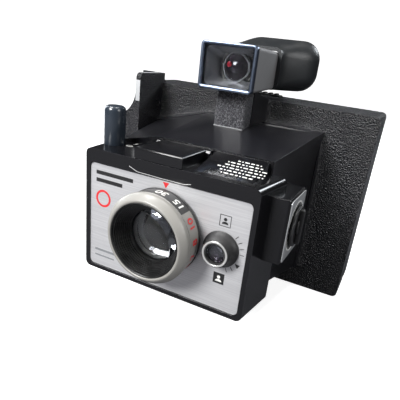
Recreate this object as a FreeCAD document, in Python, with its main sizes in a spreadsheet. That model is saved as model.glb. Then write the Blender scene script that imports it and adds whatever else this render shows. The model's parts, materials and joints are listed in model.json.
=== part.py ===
"""Rigid-bodied instant pack-film camera with a box-shaped front housing.

Frame: millimetres, +Z up. The origin is on the bottom face, under the optical
axis, at the film plane. The lens looks along -Y, so a place "ahead" of the film
plane has a negative Y. +X is on the right of someone facing the lens.
"""
import FreeCAD, Part
import os
import re
import Sketcher

SIZES = {
    # flange: the wide rear box that holds the film pack
    "flange_wide": 153.4,
    "flange_high": 112.0,
    "flange_ahead": 18.8,
    "parting_back": 5.5,
    "door_back": 22.3,
    "wall": 2.4,
    "edge_round": 3.0,
    "parting_gap": 0.2,
    "lens_high": 54.9,
    # cone: the light-tight funnel between flange and front housing
    "cone_ahead": 81.5,
    "cone_half_front": 40.3,
    "cone_half_back": 48.7,
    "cone_top_front": 91.6,
    "cone_top_back": 99.6,
    "cone_low_front": 24.0,
    "cone_low_back": 14.0,
    "shoulder_in": 22.0,
    "shoulder_out_front": 44.0,
    "shoulder_top_front": 86.5,
    "shoulder_drop_back": 11.1,
    "light_path_r": 15.0,
    # grip: the block at the film-exit end, with an upright fin
    "grip_ahead": 44.0,
    "grip_in": 61.0,
    "fin_high": 118.0,
    "fin_thick": 3.0,
    "fin_back": 5.0,
    "grip_shoulder": 91.0,
    "scoop_r": 17.7,
    # front housing
    "housing_ahead": 108.8,
    "housing_half": 45.0,
    "housing_low": 22.1,
    "housing_high": 63.8,
    "flare_ahead": 84.0,
    "flare_half": 48.4,
    "housing_wall": 2.2,
    "housing_front_wall": 3.4,
    "panel_from": 12.0,
    "panel_to": 39.0,
    "panel_ahead": 104.0,
    # face plate
    "plate_wide": 85.0,
    "plate_high": 54.8,
    "plate_low": 24.3,
    "plate_thick": 0.6,
    "plate_recess": 1.2,
    "plate_round": 2.5,
    # focusing front group
    "ring_r_front": 21.25,
    "ring_r_back": 20.45,
    "ring_lip_r": 18.4,
    "ring_bevel_ahead": 120.9,
    "ring_front_ahead": 124.3,
    "ring_back_ahead": 109.3,
    "hood_wall": 1.0,
    "hood_throat_r": 12.2,
    "hood_back_ahead": 112.6,
    "hood_throat_ahead": 115.4,
    "front_glass_r": 12.0,
    "front_dome_r": 24.0,
    "front_glass_thick": 2.0,
    "sleeve_r": 14.0,
    "sleeve_bore": 11.6,
    "sleeve_back_ahead": 101.0,
    "sleeve_front_ahead": 112.2,
    "running_gap": 0.05,
    "seat_gap": 0.1,
    # shutter and rear cell
    "shutter_ahead": 99.6,
    "shutter_thick": 1.2,
    "stop_r": 5.2,
    "blade_thick": 0.4,
    "blade_gap": 0.3,
    "blade_r": 7.0,
    "blade_pivot_out": 19.0,
    "cell_r": 10.5,
    "cell_long": 8.0,
    "rear_glass_r": 8.6,
    "rear_glass_thick": 3.2,
    "rear_dome_r": 26.0,
    "cell_shoulder": 0.5,
    "blade_pin_r": 1.0,
    # exposure knob around the electric eye
    "knob_out": 30.5,
    "knob_front_r": 6.45,
    "knob_back_r": 8.63,
    "knob_front_ahead": 114.6,
    "knob_back_ahead": 108.5,
    "knob_hub_r": 5.6,
    "knob_flare": 0.3,
    "knob_skirt": 2.0,
    "knob_bore": 4.45,
    "trim_r": 6.0,
    "trim_thick": 0.4,
    "eye_window_r": 4.2,
    "eye_window_ahead": 113.6,
    "photocell_r": 3.6,
    "photocell_long": 4.0,
    "vane_thick": 0.4,
    # shutter release
    "release_out": 40.6,
    "release_ahead": 93.0,
    "release_r": 5.25,
    "release_top": 105.0,
    "release_stem_r": 2.0,
    "release_travel": 4.5,
    "release_gap": 0.3,
    "release_skirt": 4.0,
    "stem_low": 62.0,
    "bracket_top": 70.0,
    "bracket_thick": 1.4,
    "spring_wire_r": 0.35,
    "spring_turns": 6,
    "lever_pivot_out": 24.0,
    "lever_thick": 1.0,
    "lever_wide": 4.0,
    "lever_tail": 2.0,
    "bracket_side": 1.0,
    # flash
    "flash_from": 17.5,
    "flash_to": 7.5,
    "flash_front_ahead": 108.4,
    "well_front_ahead": 105.2,
    "flash_back_ahead": 83.2,
    "flash_top": 91.2,
    "flash_wall": 1.6,
    "flash_pin_r": 0.8,
    "flash_knuckle_r": 1.7,
    "flash_pin_high": 89.5,
    "flash_lug_long": 2.2,
    "well_low": 76.0,
    "socket_r": 8.0,
    "socket_low": 78.0,
    "socket_high": 6.4,
    "socket_hole_r": 3.6,
    "socket_shaft_r": 2.0,
    "prong_out": 5.8,
    "prong_r": 1.0,
    # timer on the right-hand side
    "timer_in": 42.3,
    "timer_out": 54.9,
    "timer_front_ahead": 97.2,
    "timer_back_ahead": 71.1,
    "timer_low": 49.9,
    "timer_high": 30.8,
    "timer_wall": 1.5,
    "timer_face_thick": 0.4,
    "timer_dial_r": 9.6,
    "timer_grip_high": 3.4,
    "timer_grip_half": 8.6,
    "timer_arbor_r": 1.2,
    "timer_wheel_r": 6.0,
    "timer_pinion_r": 3.0,
    "timer_wheel_thick": 1.0,
    # viewfinder
    "finder_half": 15.5,
    "finder_low": 116.3,
    "finder_high": 23.6,
    "finder_front_ahead": 57.3,
    "finder_frame_deep": 3.0,
    "finder_frame_wide": 1.5,
    "finder_wall": 1.3,
    "finder_back_half": 13.6,
    "finder_back_low": 117.9,
    "finder_back_high": 20.4,
    "finder_back_ahead": 12.0,
    "finder_glass_thick": 1.2,
    "finder_step": 0.4,
    "eyecup_left": 15.0,
    "eyecup_right": 33.0,
    "eyecup_low": 117.5,
    "eyecup_high": 29.0,
    "eyecup_back": 5.0,
    "eyecup_neck_ahead": 18.0,
    "eyecup_wall": 2.0,
    "eyecup_gap": 0.6,
    "stalk_half": 9.0,
    "stalk_ahead": 45.5,
    "stalk_thick": 11.5,
    "plinth_half_back": 15.0,
    # hinge, latch and seal of the back door
    "hinge_high": 3.4,
    "hinge_pin_r": 1.1,
    "hinge_knuckle_r": 3.0,
    "notch_deep": 4.2,
    "notch_high": 7.2,
    "knuckle_long": 14.0,
    "knuckle_inner": 20.0,
    "knuckle_gap": 0.4,
    "latch_long": 22.0,
    "latch_wide": 8.0,
    "latch_thick": 2.0,
    "latch_travel": 4.0,
    "slot_wide": 5.0,
    "leaf_thick": 0.6,
    # film pack, rollers and batteries
    "pack_half": 53.0,
    "pack_low": 10.6,
    "pack_high": 94.0,
    "pack_ahead": 2.0,
    "pack_thick": 17.5,
    "image_half_wide": 36.5,
    "image_half_high": 35.0,
    "roller_r": 4.6,
    "roller_nip": 0.1,
    "roller_nip_back": 9.7,
    "roller_out": 67.4,
    "roller_low": 12.4,
    "roller_long": 89.6,
    "journal_r": 1.5,
    "frame_thick": 1.6,
    "frame_half_wide": 5.6,
    "battery_r": 7.1,
    "battery_long": 49.2,
    "battery_out": 66.0,
    "battery_low": 5.4,
    "battery_nub_r": 2.7,
    "contact_half": 5.0,
    # fasteners
    "screw_r": 1.2,
    "screw_head_r": 2.6,
    "screw_head_high": 1.6,
    "screw_long": 11.0,
    "boss_r": 3.0,
    "boss_low_out": 35.0,
    "boss_low": 30.0,
    "boss_high_out": 30.0,
    "boss_high": 77.0,
}

doc = FreeCAD.newDocument("pack_film_camera")
sheet = doc.addObject("Spreadsheet::Sheet", "Sizes")
for row, (alias, size) in enumerate(SIZES.items(), start=1):
    sheet.set(f"A{row}", alias)
    sheet.set(f"B{row}", str(size))
    sheet.setAlias(f"B{row}", alias)
doc.recompute()

parts = {}
NEAR = 0.1
ALONG = 0.9
SLANTED = 0.6


def bound(text):
    """An expression in which every named size points at its cell."""
    def cell(match):
        word = match.group(0)
        return "Sizes." + word if word in SIZES else word
    return re.sub(r"[a-z][a-z0-9_]*", cell, text)


def number(text):
    """The value of an expression, for a sketch's first guess."""
    return float(sheet.evalExpression(bound(text)))


def part(label, shape):
    """Name a finished sub-part."""
    shape.Label = label
    parts[label] = shape
    return shape


def place(shape, x="0", y="0", z="0"):
    """Bind where a shape stands."""
    for axis, text in (("x", x), ("y", y), ("z", z)):
        if text != "0":
            shape.setExpression(f"Placement.Base.{axis}", bound(text))
    return shape


def block(name, x, y, z):
    """A box from its low and high expressions along each axis."""
    box = doc.addObject("Part::Box", name)
    for size, (low, high) in (("Length", x), ("Width", y), ("Height", z)):
        box.setExpression(size, bound(f"({high}) - ({low})"))
    return place(box, x[0], y[0], z[0])


def frustum(name, y, front, back):
    """A wedge along Y; front and back are (x low, x high, z low, z high)."""
    wedge = doc.addObject("Part::Wedge", name)
    values = {
        "Ymin": y[0], "Ymax": y[1],
        "Xmin": front[0], "Xmax": front[1], "Zmin": front[2], "Zmax": front[3],
        "X2min": back[0], "X2max": back[1], "Z2min": back[2], "Z2max": back[3],
    }
    for key, text in values.items():
        setattr(wedge, key, number(text))
    for key, text in values.items():
        wedge.setExpression(key, bound(text))
    return wedge


TURNS = {
    "x": FreeCAD.Rotation(FreeCAD.Vector(0, 1, 0), 90),
    "y": FreeCAD.Rotation(FreeCAD.Vector(1, 0, 0), -90),
    "z": FreeCAD.Rotation(),
}


def rod(name, axis, start, radius, length):
    """A cylinder that starts at a point and runs along +axis."""
    cylinder = doc.addObject("Part::Cylinder", name)
    cylinder.Placement = FreeCAD.Placement(FreeCAD.Vector(), TURNS[axis])
    cylinder.setExpression("Radius", bound(radius))
    cylinder.setExpression("Height", bound(length))
    return place(cylinder, *start)


def ball(name, centre, radius):
    sphere = doc.addObject("Part::Sphere", name)
    sphere.setExpression("Radius", bound(radius))
    return place(sphere, *centre)


def fuse(name, *shapes):
    joined = doc.addObject("Part::MultiFuse", name)
    joined.Shapes = list(shapes)
    joined.Refine = True
    return joined


def cut(name, base, *tools):
    result = doc.addObject("Part::Cut", name)
    result.Base = base
    result.Tool = tools[0] if len(tools) == 1 else fuse(name + "_tools", *tools)
    result.Refine = True
    return result


def common(name, first, second):
    shared = doc.addObject("Part::Common", name)
    shared.Base = first
    shared.Tool = second
    return shared


def round_edges(name, base, radius, wanted):
    """Fillet the edges that a test on (edge, middle point) picks."""
    doc.recompute()
    fillet = doc.addObject("Part::Fillet", name)
    fillet.Base = base
    size = number(radius)
    chosen = []
    for index, edge in enumerate(base.Shape.Edges, start=1):
        middle = edge.valueAt((edge.FirstParameter + edge.LastParameter) / 2)
        if wanted(edge, middle):
            chosen.append((index, size, size))
    fillet.Edges = chosen
    return fillet


def new_body(name):
    return doc.addObject("PartDesign::Body", name)


def sketch_on(body, role, ahead="0"):
    """A sketch on one of the body's own origin planes, moved along its normal."""
    sketch = body.newObject("Sketcher::SketchObject", body.Name + "_sketch")
    plane = [item for item in body.Origin.OriginFeatures if item.Role == role][0]
    sketch.AttachmentSupport = [(plane, "")]
    sketch.MapMode = "FlatFace"
    if ahead != "0":
        sketch.setExpression("AttachmentOffset.Base.z", bound(ahead))
    return sketch


def draw_polygon(sketch, corners):
    """A closed outline whose corners are bound to expressions."""
    points = [FreeCAD.Vector(number(u), number(v), 0) for u, v in corners]
    count = len(points)
    for index in range(count):
        line = Part.LineSegment(points[index], points[(index + 1) % count])
        sketch.addGeometry(line, False)
    for index in range(count):
        following = (index + 1) % count
        sketch.addConstraint(Sketcher.Constraint("Coincident", index, 2, following, 1))
    for index, corner in enumerate(corners):
        for kind, text in zip(("DistanceX", "DistanceY"), corner):
            rule = Sketcher.Constraint(kind, -1, 1, index, 1, number(text))
            place_in_list = sketch.addConstraint(rule)
            sketch.setExpression(f"Constraints[{place_in_list}]", bound(text))


def turned(name, profile, x="0", z="0"):
    """A solid of revolution about an axis along Y; the profile is (radius, y)."""
    body = new_body(name)
    sketch = sketch_on(body, "XY_Plane")
    draw_polygon(sketch, profile)
    revolution = body.newObject("PartDesign::Revolution", name + "_turn")
    revolution.Profile = sketch
    revolution.ReferenceAxis = (sketch, ["V_Axis"])
    revolution.Angle = 360
    return place(body, x, "0", z)


def lofted(name, sections):
    """A straight loft between outlines in XZ planes; each is (ahead, corners)."""
    body = new_body(name)
    sketches = []
    for ahead, corners in sections:
        sketch = sketch_on(body, "XZ_Plane", ahead)
        draw_polygon(sketch, corners)
        sketches.append(sketch)
    loft = body.newObject("PartDesign::AdditiveLoft", name + "_loft")
    loft.Profile = sketches[0]
    loft.Sections = sketches[1:]
    loft.Ruled = True
    return body


def padded(name, role, ahead, corners, length):
    """An outline on an origin plane, padded towards the plane's normal."""
    body = new_body(name)
    sketch = sketch_on(body, role, ahead)
    draw_polygon(sketch, corners)
    pad = body.newObject("PartDesign::Pad", name + "_pad")
    pad.Profile = sketch
    pad.setExpression("Length", bound(length))
    return body


# ---------------------------------------------------------------- main body

HALF = "flange_wide / 2"
BOSSES = [("-boss_low_out", "boss_low"), ("boss_low_out", "boss_low"),
          ("-boss_high_out", "boss_high"), ("boss_high_out", "boss_high")]


def cone_outline(half, top, low, shoulder_out, shoulder_top, inset):
    """Section of the cone; the film-exit side falls away in a shoulder."""
    return [
        (f"{half} - {inset}", f"{low} + {inset}"),
        (f"{half} - {inset}", f"{top} - {inset}"),
        ("-shoulder_in", f"{top} - {inset}"),
        (f"-({shoulder_out} - {inset})", f"{shoulder_top} - {inset}"),
        (f"-({shoulder_out} - {inset})", f"{low} + {inset}"),
    ]


def cone_sections(inset, extra_front, extra_back):
    front = cone_outline("cone_half_front", "cone_top_front", "cone_low_front",
                         "shoulder_out_front", "shoulder_top_front", inset)
    back = cone_outline("cone_half_back", "cone_top_back", "cone_low_back",
                        "grip_in", "(cone_top_back - shoulder_drop_back)", inset)
    return [(f"cone_ahead - {extra_front}", front), (f"flange_ahead - {extra_back}", back)]


def make_grip():
    """Block at the film-exit end: a fin stands on its inner side, scooped outside."""
    solid = block("grip_block", (f"-{HALF}", "-grip_in"), ("-grip_ahead", "-flange_ahead + wall"),
                  ("0", "fin_high"))
    solid_back = frustum("fin_root", ("-flange_ahead - wall", "-flange_ahead + fin_back"),
                         ("-grip_in - fin_thick", "-grip_in", "flange_high - wall", "fin_high"),
                         ("-grip_in - fin_thick", "-grip_in", "flange_high - wall", "flange_high"))
    scoop_x = "-(grip_in + fin_thick + scoop_r)"
    scoop_z = ("grip_shoulder + sqrt(scoop_r^2 - "
               "(flange_wide / 2 - grip_in - fin_thick - scoop_r)^2)")
    scoop = rod("grip_scoop", "y", (scoop_x, "-grip_ahead - wall", scoop_z), "scoop_r",
                "grip_ahead - flange_ahead + wall")
    above = block("grip_above", (f"-{HALF} - wall", "-grip_in - fin_thick"),
                  ("-grip_ahead - wall", "-flange_ahead"), (scoop_z, "fin_high + wall"))
    grip = cut("grip_solid", solid, scoop, above)
    grip = round_edges("grip_rounded", grip, "edge_round",
                       lambda edge, at: at.z > number("fin_high") - NEAR
                       and at.y < number("-grip_ahead") + NEAR)
    return fuse("grip", grip, solid_back)


def make_knuckles(name, first, side):
    """Hinge barrels with arms; side is +1 for the door and -1 for the body."""
    pieces = []
    for mirror in (-1, 1):
        start = f"{mirror} * ({first})" if mirror > 0 else f"-({first}) - knuckle_long"
        barrel = rod(f"{name}_barrel", "x", (start, "parting_back", "hinge_high"),
                     "hinge_knuckle_r", "knuckle_long")
        low, high = ("parting_back - hinge_knuckle_r", "parting_back - parting_gap")
        if side > 0:
            low, high = ("parting_back + parting_gap", "parting_back + hinge_knuckle_r")
        arm = block(f"{name}_arm", (start, f"{start} + knuckle_long"), (low, high),
                    ("hinge_high", "notch_high + wall / 2"))
        pieces += [barrel, arm]
    return pieces


def make_pin_hole(name):
    return rod(name, "x", ("-flange_wide / 2", "parting_back", "hinge_high"),
               "hinge_pin_r + running_gap", "flange_wide")


def make_rounded_flange(name):
    """The wide rear box without its hollow."""
    flange = block(name, (f"-{HALF}", HALF), ("-flange_ahead", "parting_back"),
                   ("0", "flange_high"))
    return round_edges(f"{name}_rounded", flange, "edge_round",
                       lambda edge, at: abs(edge.tangentAt(edge.FirstParameter).y) > ALONG)


def make_grip_node():
    """The grip block and its fin, seated on the front and top of the flange."""
    grip_room = block("grip_room", (f"-{HALF} + wall", "-grip_in - wall"),
                      ("-grip_ahead + wall", "-flange_ahead + 2 * wall"),
                      ("wall", "grip_shoulder - 2 * wall"))
    part("side_grip", cut("side_grip_solid", make_grip(), grip_room,
                          make_rounded_flange("grip_seat")))


def make_cone_node():
    """Light-tight cone with the finder's plinth; it ends at the flange's front face."""
    cone = lofted("cone", cone_sections("0", "0", "0"))
    plinth = frustum("finder_plinth", ("-(stalk_ahead - stalk_thick)", "-flange_ahead"),
                     ("-stalk_half", "stalk_half", "lens_high", "finder_low"),
                     ("-plinth_half_back", "plinth_half_back", "lens_high", "flange_high"))
    hollow = lofted("cone_hollow", cone_sections("wall", "wall", "0 - wall"))
    light_path = rod("light_path", "y", ("0", "-cone_ahead - wall", "lens_high"),
                     "light_path_r", "3 * wall")
    ways = [rod("screw_way", "y", (out, "-cone_ahead - wall", high),
                "screw_r + running_gap", "3 * wall") for out, high in BOSSES]
    part("cone_shell", cut("cone_shell_solid", fuse("cone_outside", cone, plinth), hollow,
                           light_path, *ways))


def make_rear_shell():
    """Flange, film gate, cell divider and hinge knuckles as one moulding."""
    hollow = lofted("flange_way", cone_sections("wall", "wall", "0 - wall"))
    chamber = block("chamber", (f"-{HALF} + wall", f"{HALF} - wall"),
                    ("-flange_ahead + wall", "parting_back + wall"), ("wall", "flange_high - wall"))
    notch = block("hinge_notch", (f"-{HALF} - wall", f"{HALF} + wall"),
                  ("parting_back - notch_deep", "parting_back + wall"), ("-wall", "notch_high"))
    shell = cut("body_shell", make_rounded_flange("flange"), hollow, chamber)

    sill = block("hinge_sill", (f"-{HALF} + wall / 2", f"{HALF} - wall / 2"),
                 ("parting_back - notch_deep - wall", "parting_back"),
                 ("wall / 2", "notch_high + wall"))
    gate_out = block("gate_outside", ("-image_half_wide - 3 * wall", "image_half_wide + 3 * wall"),
                     ("-flange_ahead + wall / 2", "-pack_ahead"),
                     ("lens_high - image_half_high - 2 * wall",
                      "lens_high + image_half_high + 2 * wall"))
    gate_in = block("gate_inside", ("-image_half_wide", "image_half_wide"),
                    ("-flange_ahead", "0"),
                    ("lens_high - image_half_high", "lens_high + image_half_high"))
    divider = block("battery_divider", ("pack_half + wall", "pack_half + 2 * wall"),
                    ("-flange_ahead + wall / 2", "parting_back"),
                    ("wall / 2", "flange_high - wall / 2"))
    filled = fuse("body_filled", shell, sill, cut("gate", gate_out, gate_in), divider)
    notched = cut("body_notched", filled, notch)
    first = "knuckle_inner + knuckle_long + knuckle_gap"
    hinged = fuse("body_hinged", notched, *make_knuckles("body_knuckle", first, -1))
    part("rear_shell", cut("rear_shell_solid", hinged, make_pin_hole("body_pin_hole")))


# ---------------------------------------------------------------- front housing


def flared(name, inset, front, back):
    """The flared box of the front housing, shrunk by an inset."""
    low = f"housing_low + {inset}"
    high = f"housing_low + housing_high - {inset}"
    near = (f"-housing_half + {inset}", f"housing_half - {inset}", low, high)
    far = (f"-flare_half + {inset}", f"flare_half - {inset}", low, high)
    return frustum(name, (front, back), near, far)


def neck_outline(inset):
    return cone_outline("cone_half_front", "cone_top_front", "cone_low_front",
                        "shoulder_out_front", "shoulder_top_front", inset)


def flash_outline(front, gap):
    """Plan of the flash well or its cover, as (x, y) ranges."""
    x = (f"-flash_from - {gap}", f"flash_to + {gap}")
    y = (f"-{front} - {gap}", f"-flash_back_ahead + {gap}")
    return x, y


def make_front_housing():
    """Flared box with a raised panel on top and a neck that meets the cone."""
    box = flared("housing_box", "0", "-housing_ahead", "-flare_ahead")
    box = round_edges(
        "housing_rounded", box, "edge_round",
        lambda edge, at: abs(edge.tangentAt(edge.FirstParameter).y) > ALONG)
    neck = padded("housing_neck", "XZ_Plane", "cone_ahead", neck_outline("0"),
                  "flare_ahead - cone_ahead")
    top = "housing_low + housing_high"
    panel = frustum("print_panel", ("-panel_ahead", "-flare_ahead + wall / 2"),
                    ("panel_from", "panel_to", f"{top} - wall", top),
                    ("panel_from", "panel_to", f"{top} - wall", "cone_top_front"))
    outside = fuse("housing_outside", box, neck, panel)

    room = flared("housing_room", "housing_wall", "-housing_ahead + housing_front_wall",
                  "-flare_ahead - housing_wall")
    throat = block("housing_throat",
                   ("-shoulder_out_front + 2 * wall", "cone_half_front - 2 * wall"),
                   ("-flare_ahead - 2 * wall", "-cone_ahead + wall"),
                   ("cone_low_front + 2 * wall", f"{top} - 2 * wall"))
    recess = block("plate_recess", ("-plate_wide / 2 - seat_gap", "plate_wide / 2 + seat_gap"),
                   ("-housing_ahead - wall", "-housing_ahead + plate_recess"),
                   ("plate_low - seat_gap", "plate_low + plate_high + seat_gap"))
    recess = round_edges(
        "plate_recess_rounded", recess, "plate_round",
        lambda edge, at: abs(edge.tangentAt(edge.FirstParameter).y) > ALONG)
    front = ("-housing_ahead - wall", "housing_front_wall + 2 * wall")
    sleeve_way = rod("sleeve_way", "y", ("0", front[0], "lens_high"), "sleeve_r + seat_gap", front[1])
    knob_way = rod("knob_way", "y", ("knob_out", front[0], "lens_high"),
                   "knob_hub_r + release_gap", front[1])
    release_low = f"{top} - release_skirt - release_travel - release_gap"
    release_way = rod("release_way", "z", ("-release_out", "-release_ahead", release_low),
                      "release_r + release_gap", "release_skirt + release_travel + 2 * wall")
    timer_way = block("timer_way", ("timer_in - seat_gap", "timer_out"),
                      ("-timer_front_ahead - seat_gap", "-cone_ahead + wall"),
                      ("timer_low - seat_gap", "timer_low + timer_high + seat_gap"))
    x, y = flash_outline("well_front_ahead", "seat_gap")
    well = block("well_way", x, y, ("well_low - seat_gap", f"{top} + wall"))
    x, y = flash_outline("flash_front_ahead", "parting_gap")
    cover = block("cover_way", x, y, (top, "cone_top_front + wall"))
    shell = cut("housing_shell", outside, room, throat, recess, sleeve_way, knob_way,
                release_way, timer_way, well, cover)

    lugs = []
    pin_y = "-flash_back_ahead - flash_knuckle_r"
    for start in (f"{x[0]} - flash_lug_long", x[1]):
        lugs.append(rod("lid_lug", "x", (start, pin_y, "flash_pin_high"), "flash_knuckle_r",
                        "flash_lug_long"))
        lugs.append(block("lid_lug_foot", (start, f"{start} + flash_lug_long"),
                          (f"{pin_y} - flash_knuckle_r", "-flare_ahead + wall / 2"),
                          (f"{top} - wall / 2", "flash_pin_high")))
    holes = [rod("lid_pin_way", "x", (f"{x[0]} - flash_lug_long - seat_gap", pin_y, "flash_pin_high"),
                 "flash_pin_r + running_gap",
                 f"({x[1]}) - ({x[0]}) + 2 * flash_lug_long + 2 * seat_gap")]

    bosses = []
    for out, high in BOSSES:
        bosses.append(rod("boss", "y", (out, "-housing_ahead + wall", high),
                          "boss_r", "housing_ahead - wall - cone_ahead"))
        holes.append(rod("boss_bore", "y", (out, "-cone_ahead - screw_long", high),
                         "screw_r + running_gap", "2 * screw_long"))
    part("front_housing", cut("front_housing_solid", fuse("housing_bossed", shell, *bosses, *lugs),
                              *holes))


def make_face_plate():
    sheet_metal = block("plate_blank", ("-plate_wide / 2", "plate_wide / 2"),
                        ("-housing_ahead + plate_recess - plate_thick",
                         "-housing_ahead + plate_recess"),
                        ("plate_low", "plate_low + plate_high"))
    rounded = round_edges(
        "plate_rounded", sheet_metal, "plate_round",
        lambda edge, at: abs(edge.tangentAt(edge.FirstParameter).y) > ALONG)
    lens_hole = rod("plate_lens_hole", "y", ("0", "-housing_ahead - wall", "lens_high"),
                    "sleeve_r + seat_gap", "3 * wall")
    knob_hole = rod("plate_knob_hole", "y", ("knob_out", "-housing_ahead - wall", "lens_high"),
                    "knob_hub_r + release_gap", "3 * wall")
    part("face_plate", cut("face_plate_solid", rounded, lens_hole, knob_hole))


# ---------------------------------------------------------------- focusing lens


def make_focus_ring():
    """Scale ring with a bevelled front lip; its web turns on the fixed sleeve."""
    part("focus_ring", turned("focus_ring_turned", [
        ("sleeve_r + running_gap", "-ring_back_ahead"),
        ("ring_r_back", "-ring_back_ahead"),
        ("ring_r_front", "-ring_bevel_ahead"),
        ("ring_lip_r", "-ring_front_ahead"),
        ("ring_lip_r - hood_wall", "-ring_front_ahead"),
        ("ring_lip_r - hood_wall", "-sleeve_front_ahead - seat_gap"),
        ("sleeve_r + running_gap", "-sleeve_front_ahead - seat_gap"),
    ], z="lens_high"))


def make_lens_hood():
    """Black ribbed funnel inside the ring, narrowing to the front glass."""
    outer = "(ring_lip_r - hood_wall)"
    steps = 5
    profile = [(outer, "-hood_back_ahead"), (outer, "-ring_front_ahead")]
    depth = "(ring_front_ahead - hood_throat_ahead)"
    narrowing = f"({outer} - hood_wall / 2 - hood_throat_r)"
    for step in range(steps):
        radius = f"{outer} - hood_wall / 2 - {narrowing} * {step} / {steps}"
        profile.append((radius, f"-ring_front_ahead + {depth} * {step} / {steps}"))
        profile.append((radius, f"-ring_front_ahead + {depth} * {step + 1} / {steps}"))
    profile += [("hood_throat_r", "-hood_throat_ahead"), ("hood_throat_r", "-hood_back_ahead")]
    part("lens_hood", turned("lens_hood_turned", profile, z="lens_high"))


def domed_disc(name, back_ahead, radius, thick, dome_r):
    """A glass disc with a flat back and a domed front towards -Y."""
    rise = f"({dome_r} - sqrt({dome_r}^2 - {radius}^2))"
    disc = rod(f"{name}_disc", "y", ("0", f"-{back_ahead} - {thick} - {rise}", "lens_high"),
               radius, f"{thick} + {rise}")
    dome = ball(f"{name}_ball", ("0", f"-{back_ahead} - {thick} - {rise} + {dome_r}", "lens_high"),
                dome_r)
    return part(name, common(f"{name}_glass", disc, dome))


def make_lens_sleeve():
    part("lens_sleeve", turned("lens_sleeve_turned", [
        ("sleeve_bore", "-sleeve_back_ahead"),
        ("sleeve_r", "-sleeve_back_ahead"),
        ("sleeve_r", "-sleeve_front_ahead"),
        ("sleeve_bore", "-sleeve_front_ahead"),
    ], z="lens_high"))


def make_rear_cell():
    """Tube behind the shutter that holds the rear glass on a shoulder."""
    back = "-(shutter_ahead - shutter_thick - cell_long)"
    front = "-(shutter_ahead - shutter_thick)"
    part("rear_cell", turned("rear_cell_turned", [
        ("stop_r", front), ("cell_r", front), ("cell_r", back),
        ("rear_glass_r + seat_gap", back), ("rear_glass_r + seat_gap", f"{front} + wall"),
        ("stop_r", f"{front} + wall"),
    ], z="lens_high"))
    domed_disc("rear_element", "(shutter_ahead - shutter_thick - cell_long + cell_shoulder)",
               "rear_glass_r", "rear_glass_thick", "rear_dome_r")


# ---------------------------------------------------------------- shutter

BLADE_AHEAD = "(shutter_ahead + blade_gap)"


def make_shutter():
    """Plate with the stop, and one blade that swings clear of it."""
    plate = block("shutter_blank", ("-release_out - release_stem_r", "blade_pivot_out + blade_r / 2"),
                  ("-shutter_ahead", "-shutter_ahead + shutter_thick"),
                  ("lens_high - sleeve_r", "bracket_top + wall"))
    stop = rod("shutter_stop", "y", ("0", "-shutter_ahead - wall", "lens_high"), "stop_r", "3 * wall")
    pin = rod("blade_pin", "y", ("-blade_pivot_out", f"-{BLADE_AHEAD} - 2 * blade_thick", "lens_high"),
              "blade_pin_r", "2 * blade_thick + blade_gap + shutter_thick / 2")
    part("shutter_plate", fuse("shutter_plate_solid", cut("shutter_holed", plate, stop), pin))

    disc = rod("blade_disc", "y", ("0", f"-{BLADE_AHEAD} - blade_thick", "lens_high"),
               "blade_r", "blade_thick")
    arm = block("blade_arm", ("-blade_pivot_out", "0"),
                (f"-{BLADE_AHEAD} - blade_thick", f"-{BLADE_AHEAD}"),
                ("lens_high - blade_r / 3", "lens_high + blade_r / 3"))
    eye = rod("blade_eye", "y", ("-blade_pivot_out", f"-{BLADE_AHEAD} - blade_thick", "lens_high"),
              "blade_r / 2", "blade_thick")
    hole = rod("blade_hole", "y", ("-blade_pivot_out", f"-{BLADE_AHEAD} - wall", "lens_high"),
               "blade_pin_r + running_gap", "2 * wall")
    part("shutter_blade", cut("shutter_blade_solid", fuse("blade_whole", disc, arm, eye), hole))


RELEASE = ("-release_out", "-release_ahead")


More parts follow.
